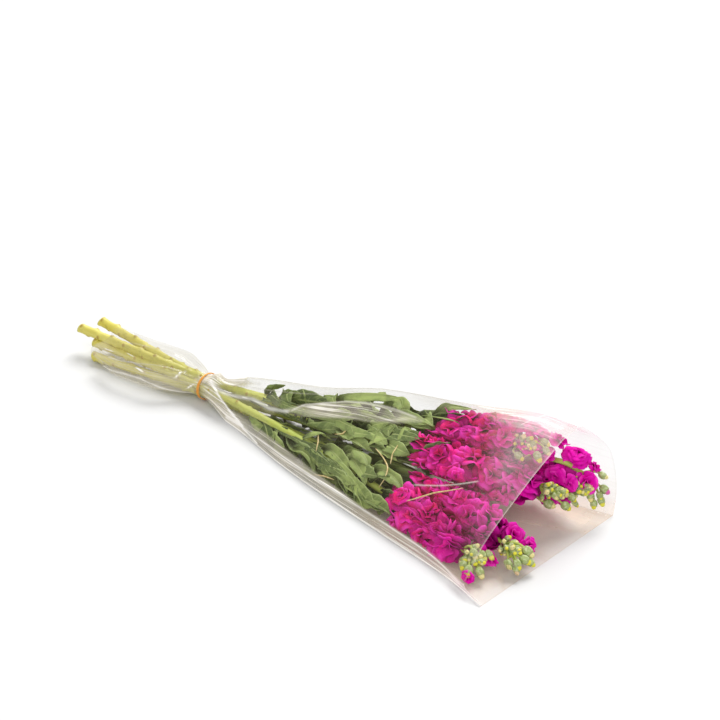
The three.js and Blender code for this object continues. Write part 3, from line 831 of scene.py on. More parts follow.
def leaves_of(stem, index):
    """All the leaves of one stem in one mesh."""
    draw, parts, faces = seeded(2100 + 7 * index), Parts(), grid_faces(LEAF_ROWS, LEAF_COLUMNS)
    for k in range(LEAVES["count"]):
        x = LEAVES["from"] + LEAVES["over"] * k / (LEAVES["count"] - 1) + draw(-6, 6)
        aside = (k * GOLDEN_DEGREES + draw(-20, 20)) % LEAVES["spread"] - LEAVES["spread"] / 2
        round_ = stem["outward"] + aside
        calm = 0.5 if x > LEAVES["calm_from"] else 1.0  # the last ones lie close under the florets
        leaf = leaf_points(
            stem, x, round_, draw(30, 52) * (0.4 + 0.6 * calm), draw(12, 18), draw(36, 84) * calm,
            draw(-90, 10) * calm, draw(-90, 90), draw(-60, 60), draw(0, 6),
        )
        parts.add(leaf, faces, **LEAF_NUMBERS, tone=draw(0.1, 0.9))
    for owner, *shape in PLACED_LEAVES:
        if owner == index:
            leaf = leaf_points(stem, *shape, draw(0, 6))
            parts.add(leaf, faces, **LEAF_NUMBERS, tone=draw(0, 0.8))
    for owner, width, route in LEAVES_ON_TOP:
        if owner == index:
            leaf = leaf_through(stem, width * ON_TOP["wider"], route, draw(0, 6))
            parts.add(leaf, faces, **LEAF_NUMBERS, tone=draw(0.3, 1.1))
    points, faces, numbers = parts.joined()
    # painted shade: the leaf finish darkens what lies deep in the bunch by this
    numbers["open"] = openness(stem, points, 30)
    name = f"leaves_{index + 1}"
    piece = place(name, make_mesh(name, points, faces, numbers), LEAF_FINISH)
    return with_thickness(piece, THICKNESS["leaf"])


leaves = [leaves_of(stem, index) for index, stem in enumerate(STEMS)]
print("leaf faces:", [len(piece.data.polygons) for piece in leaves])

# %% [markdown]
# A double floret.
#
# The florets are rosettes of ruffled petals, flat outside and upright in the middle: the full
# ones have four whorls and the small ones three. A petal is a small grid of points bent by a
# formula, with its edge waved. Five shapes of each kind, drawn from different seeds, are
# enough, because each floret is turned another way.

# %% Floret shapes
PETAL_ROWS, PETAL_COLUMNS = 7, 7
PETAL_V, PETAL_U = np.linspace(0, 1, PETAL_ROWS), np.linspace(-1, 1, PETAL_COLUMNS)
PETAL_NUMBERS = {"along": np.repeat(PETAL_V, PETAL_COLUMNS), "across": np.tile(PETAL_U, PETAL_ROWS)}
WHORLS = [
    # petals, length, width, cup at the claw, cup at the edge, height on the axis
    (5, 21, 23, 24, -26, 0),
    (5, 17.5, 20, 48, -4, 1.5),
    (4, 14, 17, 66, 22, 3),
    (3, 10.5, 13, 84, 50, 4),
]
LOOSE_WHORLS = [(5, 20, 22, 34, -6, 0), (4, 16, 19, 62, 16, 2), (2, 12, 15, 84, 50, 3.5)]
FLORET_SHAPES = 5
SMALL_BUD = [
    # height, radius, depth of the ribs, and 1 on the bud, where height and radius are shares
    (0, 1.0, 0, 0), (2.5, 0.9, 0, 0), (5, 0.85, 0, 0), (7, 1.0, 0, 0), (0.06, 0.55, 0.06, 1),
    (0.15, 0.82, 0.12, 1), (0.28, 1.0, 0.13, 1), (0.42, 1.0, 0.13, 1), (0.56, 0.94, 0.15, 1),
    (0.69, 0.82, 0.2, 1), (0.71, 0.7, 0.12, 1), (0.81, 0.68, 0.05, 1), (0.93, 0.46, 0.04, 1),
    (1.0, 0.08, 0, 1),
]
CALYX = [(-15, 0.9), (-9, 0.9), (-8, 1.8), (-5, 2.6), (-1, 2.7), (1.5, 3.4)]  # height, radius


def petal_points(length, width, cup, flare, draw):
    """One petal that leaves the origin along +X and bends from the cup to the flare angle."""
    v, u = PETAL_V, PETAL_U
    angle = np.radians(cup + (flare - cup) * v ** 0.8)
    step = length / (PETAL_ROWS - 1)
    run = np.concatenate([[0], np.cumsum(np.cos(angle[1:]) * step)])
    rise = np.concatenate([[0], np.cumsum(np.sin(angle[1:]) * step)])
    half = width / 2 * (0.16 + 0.84 * smoothstep(v, 0.05, 0.72)) * (1 - 0.16 * smoothstep(v, 0.8, 1.0))
    shorter = 1 - (0.16 * u ** 2 + 0.06 * np.exp(-(u / 0.25) ** 2))[None, :] * v[:, None] ** 2
    phase, waves = draw(0, 6.28), draw(2.0, 3.1)
    ruffle = draw(2.6, 4.6) * np.sin(waves * u + phase)[None, :] * v[:, None] ** 1.6
    ruffle += 0.4 * np.sin(3 * waves * u + 2 * phase)[None, :] * v[:, None] ** 4
    ruffle += draw(-3.0, 2.0) * (u ** 2)[None, :] * v[:, None]
    x = run[:, None] * shorter - np.sin(angle)[:, None] * ruffle
    y = half[:, None] * u[None, :]
    z = rise[:, None] * shorter + np.cos(angle)[:, None] * ruffle
    return np.stack([x, y, z], axis=2).reshape(-1, 3)


def floret_parts(number, whorls):
    """Points, faces and numbers of one floret that faces +Z, with its root at the origin."""
    draw, parts = seeded(5000 + 97 * number), Parts()
    faces = grid_faces(PETAL_ROWS, PETAL_COLUMNS)
    for whorl, (petals, length, width, cup, flare, height) in enumerate(whorls):
        first = draw(0, 6.28)
        for k in range(petals):
            turn = first + 2 * math.pi * k / petals + draw(-0.22, 0.22)
            petal = petal_points(
                length * draw(0.88, 1.1), width * draw(0.85, 1.15),
                cup + draw(-8, 8), flare + draw(-14, 14), draw,
            )
            c, s = math.cos(turn), math.sin(turn)
            spun = petal @ np.array([[c, s, 0], [-s, c, 0], [0, 0, 1]]) + (0.6 * c, 0.6 * s, height)
            tone = np.clip(draw(0.1, 1.0) - 0.06 * whorl, 0, 1)
            parts.add(spun, faces, **PETAL_NUMBERS, tone=tone)
    return parts.joined()


def ring_points(radius, height, aside=0):
    """Rings of points round the Z axis, from the radius and the height of each point."""
    angle = circle(radius.shape[1])
    x, y = aside + radius * np.cos(angle), radius * np.sin(angle)
    return np.stack([x, y, height + 0 * radius], axis=2).reshape(-1, 3)


def bud_mesh(number):
    """A bud on its stalk along +Z: a thin neck, an egg of four sepals and a puckered tip."""
    draw, columns = seeded(8000 + 41 * number), 16
    stalk, length, radius = 7.0, 11.0 * draw(0.85, 1.15), 3.7 * draw(0.85, 1.15)
    heights, widths, ridged, on_bud = np.array(SMALL_BUD).T
    heights = np.where(on_bud, stalk + heights * length, heights)
    widths = np.where(on_bud, widths * radius, widths)[:, None]
    ridges = np.cos(4 * circle(columns))
    lifted = np.outer(np.where(ridged > 0.14, 0.9, 0), ridges)
    bend = 1.8 * np.sin(heights / stalk * 1.1 + draw(0, 3))[:, None]
    points = ring_points(widths * (1 + np.outer(ridged, ridges)), heights[:, None] + lifted, bend)
    points[:, 0] -= bend[0]
    numbers = {
        "along": np.repeat(np.linspace(0, 1, len(heights)), columns),
        "across": np.repeat(on_bud, columns),
        "tone": np.full(len(points), draw(0, 1)),
    }
    return make_mesh(f"bud_shape_{number}", points, tube_faces(len(heights), columns), numbers)


def calyx_mesh():
    """The green cup under a floret, on its short stalk, along +Z and ending at the origin."""
    heights, widths = np.array(CALYX).T[:, :, None]
    points = ring_points(np.repeat(widths, 10, axis=1), heights)
    green = {"along": 0.3, "across": 0, "tone": 0}
    numbers = {label: np.full(len(points), value) for label, value in green.items()}
    return make_mesh("calyx_shape_0", points, tube_faces(len(heights), 10), numbers)


def shelf(name, meshes):
    """A collection of shapes that the tree below picks from; it isn't part of the scene."""
    collection = bpy.data.collections.new(name)
    for mesh in meshes:
        collection.objects.link(bpy.data.objects.new(mesh.name, mesh))
    return collection


full_florets = [floret_parts(k, WHORLS) for k in range(FLORET_SHAPES)]
loose_florets = [floret_parts(20 + k, LOOSE_WHORLS) for k in range(FLORET_SHAPES)]
shapes = [make_mesh(f"floret_shape_{k}", *parts) for k, parts in enumerate(full_florets)]
florets_shelf = shelf("florets", shapes)
buds_shelf = shelf("buds", [bud_mesh(k) for k in range(4)])
calyx_shelf = shelf("calyces", [calyx_mesh()])

# %% [markdown]
# Set out round a stem.
#
# Florets and buds stand round the stem in a spiral, each turned by the golden angle from the
# one before. Geometry Nodes are right for this: one tree, with its sizes as inputs, serves the
# florets, their green cups and the buds of all the stems.

# %% The spiral tree
SPIRAL_INPUTS = {
    "Geometry": ["Geometry"], "Collection": ["Shapes"], "Material": ["Finish"],
    "Int": ["Count", "Seed"],
    "Float": ["First Turn", "Turn", "Lean Low", "Lean High", "Reach Low", "Reach High",
              "Size Low", "Size High"],
}


def spiral_tree():
    """The tree that sets shapes out round a line, each one turned on from the one before."""
    group = bpy.data.node_groups.new("spiral on a stem", "GeometryNodeTree")
    for kind, labels in SPIRAL_INPUTS.items():
        for label in labels:
            group.interface.new_socket(label, in_out="INPUT", socket_type="NodeSocket" + kind)
    group.interface.new_socket("Geometry", in_out="OUTPUT", socket_type="NodeSocketGeometry")

    def add(kind, settings=None, sockets=None):
        return add_node(group, kind, settings, sockets)

    def number(operation, *items):
        return add("ShaderNodeMath", {"operation": operation}, dict(enumerate(items)))[0]

    def scaled(vector, by):
        return add("ShaderNodeVectorMath", {"operation": "SCALE"}, {0: vector, "Scale": by})[0]

    def random(low, high):
        sockets = {2: low, 3: high, "Seed": given["Seed"]}
        return add("FunctionNodeRandomValue", {"data_type": "FLOAT"}, sockets)[1]

    def from_low_to_high(what):
        sockets = {0: share, 2: given[what + " Low"], 3: given[what + " High"]}
        return add("ShaderNodeMix", {"data_type": "FLOAT"}, sockets)[0]

    given, index = add("NodeGroupInput"), add("GeometryNodeInputIndex")[0]
    curve = add("GeometryNodeMeshToCurve", sockets={"Mesh": given["Geometry"]})["Curve"]
    sockets = {"Curve": curve, "Count": given["Count"]}
    points = add("GeometryNodeCurveToPoints", {"mode": "COUNT"}, sockets)
    angle = number("MULTIPLY_ADD", index, given["Turn"], given["First Turn"])
    share = number("DIVIDE", index, number("SUBTRACT", given["Count"], 1.0))
    lean = from_low_to_high("Lean")
    sockets = {"Vector": points["Normal"], "Axis": points["Tangent"], "Angle": angle}
    round_ = add("ShaderNodeVectorRotate", {"rotation_type": "AXIS_ANGLE"}, sockets)[0]
    ahead = scaled(points["Tangent"], number("COSINE", lean))
    out = scaled(round_, number("SINE", lean))
    direction = add("ShaderNodeVectorMath", {"operation": "ADD"}, {0: ahead, 1: out})[0]
    offset = scaled(direction, from_low_to_high("Reach"))
    moved = add("GeometryNodeSetPosition", sockets={"Geometry": points["Points"], "Offset": offset})[0]
    facing = add("FunctionNodeAlignRotationToVector", {"axis": "Z"}, {"Vector": direction})[0]
    sockets = {"Axis": (0, 0, 1), "Angle": random(0.0, 6.283)}
    own_turn = add("FunctionNodeAxisAngleToRotation", sockets=sockets)[0]
    sockets = {"Rotation": facing, "Rotate By": own_turn}
    rotation = add("FunctionNodeRotateRotation", {"rotation_space": "LOCAL"}, sockets)[0]
    sockets = {"Collection": given["Shapes"], "Separate Children": True, "Reset Children": True}
    shapes = add("GeometryNodeCollectionInfo", sockets=sockets)[0]
    placed = add("GeometryNodeInstanceOnPoints", sockets={
        "Points": moved, "Instance": shapes, "Pick Instance": True, "Instance Index": index,
        "Rotation": rotation, "Scale": random(given["Size Low"], given["Size High"]),
    })[0]
    real = add("GeometryNodeRealizeInstances", sockets={"Geometry": placed})[0]
    sockets = {"Geometry": real, "Material": given["Finish"]}
    add("NodeGroupOutput", sockets={0: add("GeometryNodeSetMaterial", sockets=sockets)[0]})
    return group


SPIRAL = spiral_tree()


def spiral(name, stem, x_from, x_to, **inputs):
    """The shapes set out along part of a stem, as one plain mesh object."""
    line = stem_points(stem, np.linspace(x_from, x_to, 24))
    mesh = bpy.data.meshes.new(name)
    mesh.from_pydata((line * MM).tolist(), [(k, k + 1) for k in range(len(line) - 1)], [])
    host = place(name, mesh)
    modifier = host.modifiers.new("spiral", "NODES")
    modifier.node_group = SPIRAL
    identifiers = {
        item.name: item.identifier for item in SPIRAL.interface.items_tree if item.in_out == "INPUT"
    }
    for label, value in inputs.items():
        modifier[identifiers[label.replace("_", " ")]] = value
    made = evaluated(host)
    bpy.data.objects.remove(host)
    return place(name, made)


def freshness(points):
    """The blooms near the tips are the youngest and the most violet."""
    return smoothstep(points[:, 0], 205, 290)


def press_piece(piece, stem, margin, full=None):
    """Press all the points of a piece into the room of its stem, and note how open they lie for the
    painted shade.
    """
    flat = np.empty(len(piece.data.vertices) * 3, dtype=np.float32)
    piece.data.vertices.foreach_get("co", flat)
    points = off_floor(pressed(stem, flat.reshape(-1, 3).astype(float) / MM, margin, full))
    piece.data.vertices.foreach_set("co", (points * MM).astype(np.float32).reshape(-1))
    add_number(piece.data, "open", openness(stem, points, 25))
    add_number(piece.data, "fresh", freshness(points))
    piece.data.update()
    return piece


# %% [markdown]
# The heads.
#
# A head is the spiral of florets along the flowering part of a stem, with a green cup under
# each floret and a cluster of buds at the tip. Florets could be placed one by one, but the
# spiral is how the plant grows, and one rule serves all five stems.

# %% Heads
FLORETS = {"after": 1, "before": 8, "spacing": 6.6, "lean": (86, 58), "reach": 10.5, "full": 26}
REACH_SHRINKS_TO = 0.8
HEAD_FIRST_TURN = [2.6, 4.2, 1.9, 5.6, 0.8]


def along_head(name, stem, index, margin, **inputs):
    """Shapes set out where the florets of one stem grow."""
    start, end = stem["flowers"]
    piece = spiral(
        f"{name}_{index + 1}", stem, start + FLORETS["after"], end - FLORETS["before"],
        Count=round((end - start) / FLORETS["spacing"]),
        First_Turn=HEAD_FIRST_TURN[index], Turn=GOLDEN_ANGLE,
        Lean_Low=math.radians(FLORETS["lean"][0]), Lean_High=math.radians(FLORETS["lean"][1]),
        Reach_Low=FLORETS["reach"] * MM, Reach_High=FLORETS["reach"] * MM * REACH_SHRINKS_TO, **inputs,
    )
    return press_piece(piece, stem, margin, FLORETS["full"])


def head_of(stem, index):
    """The florets of one stem, thin but solid."""
    piece = along_head(
        "florets", stem, index, MARGIN["floret"],
        Shapes=florets_shelf, Size_Low=0.82, Size_High=1.12, Seed=40 + index, Finish=PETAL,
    )
    return with_thickness(piece, THICKNESS["petal"])


def cups_of(stem, index):
    """The green cups and short stalks under the florets."""
    return along_head(
        "calyces", stem, index, MARGIN["cup"],
        Shapes=calyx_shelf, Size_Low=0.9, Size_High=1.0, Seed=60 + index, Finish=BUD_FINISH,
    )


BUDS = {"count": 20, "back": 15, "before": 4, "lean": (72, 4), "first": 0.7}


def buds_of(stem, index):
    """The buds at the tip of one stem."""
    end = stem["route"][-1][0]
    piece = spiral(
        f"buds_{index + 1}", stem, end - BUDS["back"], end - BUDS["before"],
        Shapes=buds_shelf, Count=BUDS["count"], First_Turn=BUDS["first"] + index, Turn=GOLDEN_ANGLE,
        Lean_Low=math.radians(BUDS["lean"][0]), Lean_High=math.radians(BUDS["lean"][1]),
        Reach_Low=0.0, Reach_High=0.0, Size_Low=0.6, Size_High=0.85, Seed=80 + index,
        Finish=BUD_FINISH,
    )
    return press_piece(piece, stem, MARGIN["bud"])


heads = [head_of(stem, index) for index, stem in enumerate(STEMS)]
cups = [cups_of(stem, index) for index, stem in enumerate(STEMS)]
buds = [buds_of(stem, index) for index, stem in enumerate(STEMS)]
print("faces in the heads:", [len(piece.data.polygons) for piece in heads])

# %% [markdown]
# Blooms and buds that stand out.
#
# Some florets stand apart from the dense spiral, and the biggest buds hang on long stalks at
# the tips. They give each head its outline, so each of them has its own place. A bud is a tube
# swept along its curved stalk and then along its axis, with the radius of stalk, sepals and
# tip; a floret is one of the shapes from above, turned to face a direction.

# %% Single florets and open buds
SINGLE_FLORETS = [
    # stem, middle, direction it faces, size
    (3, (285, 80, 69), (0.5, -0.3, 0.8), 0.74), (3, (296, 94, 53), (0.9, -0.1, 0.5), 0.46),
    (3, (298, 76, 41), (0.7, -0.6, 0.4), 0.62), (3, (276, 52, 53), (0.5, -0.6, 0.6), 0.56),
    (3, (264, 62, 50), (0.2, -0.5, 0.8), 0.55), (0, (285, -47, 16), (0.8, -0.3, 0.5), 0.68),
    (0, (284, -84, 8), (0.4, -0.9, 0), 0.36), (1, (286, -20, 25), (0.7, -0.2, 0.7), 0.62),
    (1, (301, -14, 17), (0.9, 0.1, 0.4), 0.45), (4, (258, 74, 76), (0.3, 0.3, 0.9), 0.6),
    (4, (244, 66, 82), (0, 0.2, 1), 0.6), (2, (214, -20, 58), (0.3, -0.6, 0.7), 0.5),
    (0, (172, -48, 33), (-0.3, -0.4, 0.9), 0.6),
    (2, (168, 12, 62), (-0.3, -0.3, 0.9), 0.74), (4, (208, 50, 90), (0, 0.1, 1), 0.7),
    (4, (221, 52, 92), (0.2, -0.1, 1), 0.64), (4, (234, 56, 92), (0.2, 0.1, 1), 0.7),
    (4, (247, 61, 89), (0.3, 0.1, 0.9), 0.62), (4, (267, 73, 79), (0.5, 0.2, 0.8), 0.6),
    (2, (202, 4, 64), (0.2, -0.4, 0.9), 0.62),
    (4, (262, 54, 70), (0.5, -0.3, 0.7), 0.62), (4, (230, 36, 84), (0.2, -0.3, 0.9), 0.7),
    (3, (290, 58, 46), (0.6, -0.6, 0.5), 0.5), (3, (254, 58, 46), (0, -0.7, 0.7), 0.6),
    (4, (213, 26, 64), (0.1, -0.6, 0.8), 0.7), (4, (228, 31, 60), (0.2, -0.6, 0.8), 0.62),
    (2, (243, 31, 54), (0.3, -0.5, 0.8), 0.64), (2, (190, -12, 44), (0, -0.6, 0.8), 0.7),
    (1, (206, -12, 42), (0.1, -0.7, 0.7), 0.62), (1, (231, -17, 38), (0.2, -0.2, 1), 0.64),
    (2, (248, 0, 38), (0.2, -0.5, 0.8), 0.66), (1, (236, -8, 40), (0.2, -0.5, 0.8), 0.62),
    (4, (250, 46, 80), (0.3, -0.2, 0.9), 0.64),
]
FORKS = [(262, -63, 20), (286, -34, 22), (262, 32, 44), (288, 82, 46), (243, 43, 76)]
OPEN_BUDS = [
    # stem, base of the bud, its tip, size
    (3, (300, 92, 46), (310, 96, 42), 0.85), (3, (304, 90, 34), (315, 92, 28), 0.95),
    (3, (300, 79, 33), (305, 75, 25), 0.95), (3, (307, 86, 26), (314, 83, 19), 0.9),
    (3, (305, 80, 24), (309, 75, 18), 0.8), (3, (305, 86, 30), (311, 84, 24), 0.8),
    (2, (283, 48, 40), (294, 55, 35), 1.05), (2, (277, 37, 30), (290, 43, 25), 1),
    (2, (292, 57, 36), (301, 59, 29), 0.95), (2, (291, 47, 30), (299, 51, 23), 0.9),
    (2, (297, 60, 28), (304, 60, 22), 0.8), (2, (264, 41, 48), (272, 43, 43), 0.7),
    (0, (272, -64, 25), (279, -67, 20), 1), (0, (277, -57, 21), (285, -61, 17), 0.95),
    (0, (280, -50, 21), (288, -54, 17), 1), (0, (273, -75, 18), (276, -83, 13), 0.85),
    (0, (279, -76, 16), (284, -83, 10), 1), (0, (285, -71, 14), (292, -74, 9), 1),
    (1, (303, -27, 22), (311, -26, 17), 1.1), (1, (300, -45, 16), (306, -53, 10), 1.1),
    (1, (307, -37, 18), (314, -33, 13), 1), (1, (311, -31, 14), (318, -29, 9), 0.8),
    (1, (308, -44, 12), (314, -49, 7), 0.8), (1, (306, -41, 17), (312, -44, 12), 0.9),
    (4, (241, 47, 83), (249, 46, 79), 0.95), (4, (245, 31, 74), (253, 32, 70), 0.9),
    (4, (260, 43, 76), (268, 40, 71), 1), (4, (256, 55, 82), (264, 58, 78), 0.9),
    (4, (252, 47, 83), (260, 43, 79), 0.85), (4, (264, 51, 79), (272, 50, 74), 0.8),
]
BIG_BUD = {"length": 12.5, "wider": 1.08, "stalk": 1.15, "sides": 16, "stalk_rings": 9}
BRANCHED = 3
BRANCH = [(222, 57, 30), (246, 63, 58), (266, 64, 62), (280, 70, 58), (291, 80, 47)]
BUD_PROFILE = [
    # share of the bud's length, radius in mm, depth of the four ribs, how far along the finish
    (0, 1.2, 0, 0), (0.05, 2.4, 0.06, 0.1), (0.15, 3.3, 0.12, 0.22), (0.3, 3.9, 0.13, 0.36),
    (0.45, 3.9, 0.14, 0.48), (0.58, 3.6, 0.18, 0.58), (0.7, 3.1, 0.24, 0.7), (0.71, 2.7, 0.05, 0.78),
    (0.8, 2.6, 0.08, 0.85), (0.92, 1.9, 0.1, 0.93), (1, 0.4, 0, 1),
]


def single_florets(index):
    """The florets of one stem that stand apart, as one piece."""
    parts = Parts()
    for number, (owner, middle, facing, size) in enumerate(SINGLE_FLORETS):
        if owner == index:
            shapes = full_florets if size > 0.72 else loose_florets
            points, faces, numbers = shapes[number % FLORET_SHAPES]
            turn = np.array(Vector(facing).to_track_quat("Z", "Y").to_matrix())
            parts.add(((points - (0, 0, 5)) * size) @ turn.T + middle, faces, **numbers)
    points, faces, numbers = parts.joined()
    points = off_floor(pressed(STEMS[index], points, MARGIN["single floret"]))
    # painted shade: the petals of these florets are darker toward the claw
    numbers["open"] = smoothstep(numbers["along"], -0.3, 0.8)
    numbers["fresh"] = freshness(points)
    name = f"single_florets_{index + 1}"
    piece = place(name, make_mesh(name, points, faces, numbers), PETAL)
    return with_thickness(piece, THICKNESS["petal"])


def open_buds(index):
    """The big buds of one stem on their stalks, as one piece."""
    sides, stalk_rings = BIG_BUD["sides"], BIG_BUD["stalk_rings"]
    parts, draw = Parts(), seeded(9100 + index)
    lengths, radii, ribs, finish_along = np.array(BUD_PROFILE).T
    rings, s = stalk_rings + len(lengths), np.linspace(0, 1, stalk_rings)[:, None]
    on_bud = np.arange(rings) >= stalk_rings
    for owner, base, tip, size in OPEN_BUDS:
        if owner != index:
            continue
        base, tip, fork = np.array(base, float), np.array(tip, float), np.array(FORKS[index], float)
        axis = (tip - base) / np.linalg.norm(tip - base)
        before = base - axis * 0.45 * np.linalg.norm(base - fork)
        stalk = (1 - s) ** 2 * fork + 2 * s * (1 - s) * before + s * s * base
        head = base + axis * (0.4 + lengths[:, None] * BIG_BUD["length"] * size)
        ridged = 1 + ribs[:, None] * np.cos(4 * circle(sides))
        grown = BIG_BUD["wider"] * radii[:, None] * size * ridged
        full = np.vstack([np.full((stalk_rings, sides), BIG_BUD["stalk"] * size), grown])
        parts.add(
            swept(np.vstack([stalk, head]), full, sides), tube_faces(rings, sides),
            along=np.repeat(np.append(np.zeros(stalk_rings), finish_along), sides),
            across=np.repeat(on_bud, sides), tone=draw(0, 1),
        )
    if index == BRANCHED:
        steps = 28
        share = np.linspace(0, len(BRANCH) - 1, steps)
        middle = through([(k, *row) for k, row in enumerate(BRANCH)], share)
        points = swept(middle, np.linspace(4.0, 2.2, steps), sides)
        parts.add(points, tube_faces(steps, sides), along=0, across=0, tone=0)
    points, faces, numbers = parts.joined()
    points = off_floor(pressed(STEMS[index], points, MARGIN["open bud"]))
    name = f"open_buds_{index + 1}"
    return place(name, make_mesh(name, points, faces, numbers), BUD_FINISH)


singles = [single_florets(index) for index in range(len(STEMS))]
big_buds = [open_buds(index) for index in range(len(STEMS))]
print("open buds:", len(OPEN_BUDS), "single florets:", len(SINGLE_FLORETS))

# %% [markdown]
# The rubber band.
#
# A flat band wound twice round film and stems. Its two turns lie side by side and cross on
# top. It is swept along a line that goes round twice, with a flat section.

# %% Rubber band
WRAP = {"steps": 128, "turns": 2, "half_width": 0.75, "half_height": 0.45, "sway": 1.1, "starts": 1.2}
WRAP_SECTION = [(-1, -0.6), (-0.6, -1), (0.6, -1), (1, -0.6), (1, 0.6), (0.6, 1), (-0.6, 1), (-1, 0.6)]


def make_band():
    """The band as one closed sweep; the first turn is lifted over the second where they cross."""
    steps, columns = WRAP["steps"], len(WRAP_SECTION)
    angle = np.linspace(0, 2 * math.pi * WRAP["turns"], steps, endpoint=False)[:, None]
    w, h = np.array(WRAP_SECTION).T
    over = 0.35 * (np.cos(angle / 2) ** 8) * (angle < 2 * math.pi)
    radius = BAND["inner"] + WRAP["half_height"] + 0.05 + over + h * WRAP["half_height"]
    points = np.stack([
        BAND["x"] + WRAP["sway"] * np.sin(angle / 2) + w * WRAP["half_width"],
        BAND["y"] + radius * np.cos(angle + WRAP["starts"]),
        BAND["z"] + radius * np.sin(angle + WRAP["starts"]),
    ], axis=2).reshape(-1, 3)
    faces, last = grid_faces(steps, columns, closed=True), (steps - 1) * columns
    faces += [(last + c, last + (c + 1) % columns, (c + 1) % columns, c) for c in range(columns)]
    finish = grainy_finish(
        "rubber orange", 0.55, 900.0, (0.3, 0.7), [(226, 140, 40), (244, 178, 78)], 0.2
    )
    return place("band_wraps", make_mesh("band_wraps", points, faces), finish)


band = make_band()

# %% [markdown]
# The film.
#
# Clear film is hardly seen where it lies flat to the eye. It shows as a milky veil that gets
# stronger where it is creased or doubled, and as bright lines along folds and cut edges. So
# its transparency comes from how creased it is at each point, and its shape has the pleats
# that run out from the band. The bright lines are painted highlights. The milky parts glow a
# little, painted light for what the film scatters, and the film is tinted pink over the heads
# and warm on the floor, painted reflections of light bounced from the flowers.

# %% Film
FILM_GRID = {"tube": 80, "tube_ends": -122, "cone_starts": -120, "cone": 220, "round": 300}
# painted highlights: each crease is drawn as a bright line on the film, and lifts it a little
CREASES = [
    # half width in mm, strength, then x and k along the crease
    (1.4, 0.6, [(-122, 0.1), (315, 0.1)]),
    (1.1, 0.4, [(-90, 1), (-11, 1.4), (66, 1.2), (174, 1.05), (306, 0.7)]),
    (1.4, 0.6, [(-125, 6.5), (-107, 5), (-87, 2.9), (-59, 1.1), (-30, 0.4)]),
    (2.6, 0.45, [(-125, 6.4), (-102, 5.8), (-62, 6.4), (-36, 6), (-9, 6.5)]),
    (1.5, 0.3, [(-9, 6.5), (-4, 7.1), (4, 7.8), (24, 8.3), (46, 8.6), (84, 8.65), (107, 8.6),
                (135, 8.4)]),
    (1.4, 0.14, [(-9, 6.2), (22, 6.8), (60, 7.2), (88, 7.3), (128, 8.2)]),
    (1.1, 0.25, [(-110, 8), (-52, 8.4), (30, 9.5), (75, 9.9)]),
    (1.8, 0.25, [(-120, 10), (315, 10)]),
    (1.1, 0.45, [(180, 4.4), (257, 5.9)]),
    (0.9, 0.22, [(196, 9.9), (230, 9.7), (273, 9.5), (300, 9.3)]),
    (1.4, 0.35, [(-252, 1.5), (-215, 2.4), (-190, 2.5), (-164, 0.7), (-142, 0.3)]),
    (1.5, 0.2, [(-252, 7.4), (-221, 7.9), (-196, 8.2), (-150, 8.6)]),
    (1, 0.22, [(-240, 4.2), (-200, 4.9), (-155, 6)]),
    (0.8, 0.75, [(-200, 4.2), (-190, 3.8)]), (0.9, 0.7, [(-160, 4), (-155, 6.2)]),
    (0.8, 0.7, [(-148, 1.9), (-142, 3.6)]), (0.7, 0.5, [(-224, 6), (-211, 5.7)]),
    (0.7, 0.45, [(-253, 5), (-240, 5.3)]),
    (1.6, 0.3, [(-132, 9.3), (-117, 9.6), (-89, 9.3), (-64, 9.1)]),
    (3, 0.1, [(250, 17.3), (315, 16.8)]), (2.4, 0.12, [(270, 18.8), (315, 19.3)]),
    (1, 0.35, [(210, 10.7), (232, 11.3), (248, 11)]), (0.9, 0.3, [(256, 9.2), (280, 10.2), (300, 10)]),
]
VEILS = [
    # strength, softness in mm, then x and the two k between which the film is doubled or creased
    (0.36, 4, [(-16, 6.5, 6.7), (0, 6.6, 7.6), (22, 6.8, 8.3), (46, 7, 8.6),
               (70, 7.2, 8.7), (95, 7.4, 8.6), (115, 7.7, 8.5), (140, 8.2, 8.4)]),
    (0.52, 3, [(-128, 0.3, 7), (-107, 0.2, 5), (-87, 0.1, 2.9), (-55, 0, 1)]),
    (0.6, 4, [(-139, 4, 14), (-128, 6, 14), (-104, 8, 13), (-90, 8.6, 12)]),
    (0.34, 2, [(-120, 0, 3.2), (-12, 0, 2.6), (67, 0, 1.7), (142, 0, 1.2), (315, 0, 0.9)]),
    (0.09, 5, [(-120, 9.4, 16), (230, 9.4, 16)]),
    (0.05, 5, [(240, 9.4, 16), (315, 9.4, 16)]),
    (0.12, 6, [(-122, 3, 8.6), (-80, 3, 8.6), (-30, 4, 8)]),
    (0.05, 20, [(160, 11, 11), (186, 9.2, 11), (220, 6.4, 11), (250, 4.2, 11), (280, 2.6, 11),
                  (315, 1.6, 11)]),
    (0.05, 20, [(180, 11.4, 11), (206, 9.8, 11), (240, 7.4, 11), (265, 5.4, 11), (290, 3.6, 11),
                  (315, 2.4, 11)]),
    (0.06, 20, [(204, 11.6, 11), (230, 10.2, 11), (262, 8, 11), (288, 5.8, 11), (315, 4, 11)]),
    (0.08, 4, [(-268, 0, 20), (-128, 0, 20)]),
    (0.2, 6, [(-268, 0, 5.6), (-220, 0, 5.2), (-170, 0, 4.8), (-135, 0, 6.6)]),
    (0.2, 4, [(172, 10.2, 10.1), (215, 9.3, 10.5), (255, 9.1, 10.6), (300, 9, 10.9)]),
    *((strength, 8, [(120, 15.4, 20), (end, 15.4, 20)])
      for strength, end in ((0.14, 315), (0.07, 300), (0.06, 286), (0.05, 270))),
    (0.16, 7, [(262, 14.7, 16.3), (290, 14.3, 16.6), (315, 13.9, 16.9)]),
]


def over_k(x, k, step):
    """How y and z change over a short step of k to each side."""
    return sleeve_points(x, (k + step) % ROUND) - sleeve_points(x, (k - step) % ROUND)


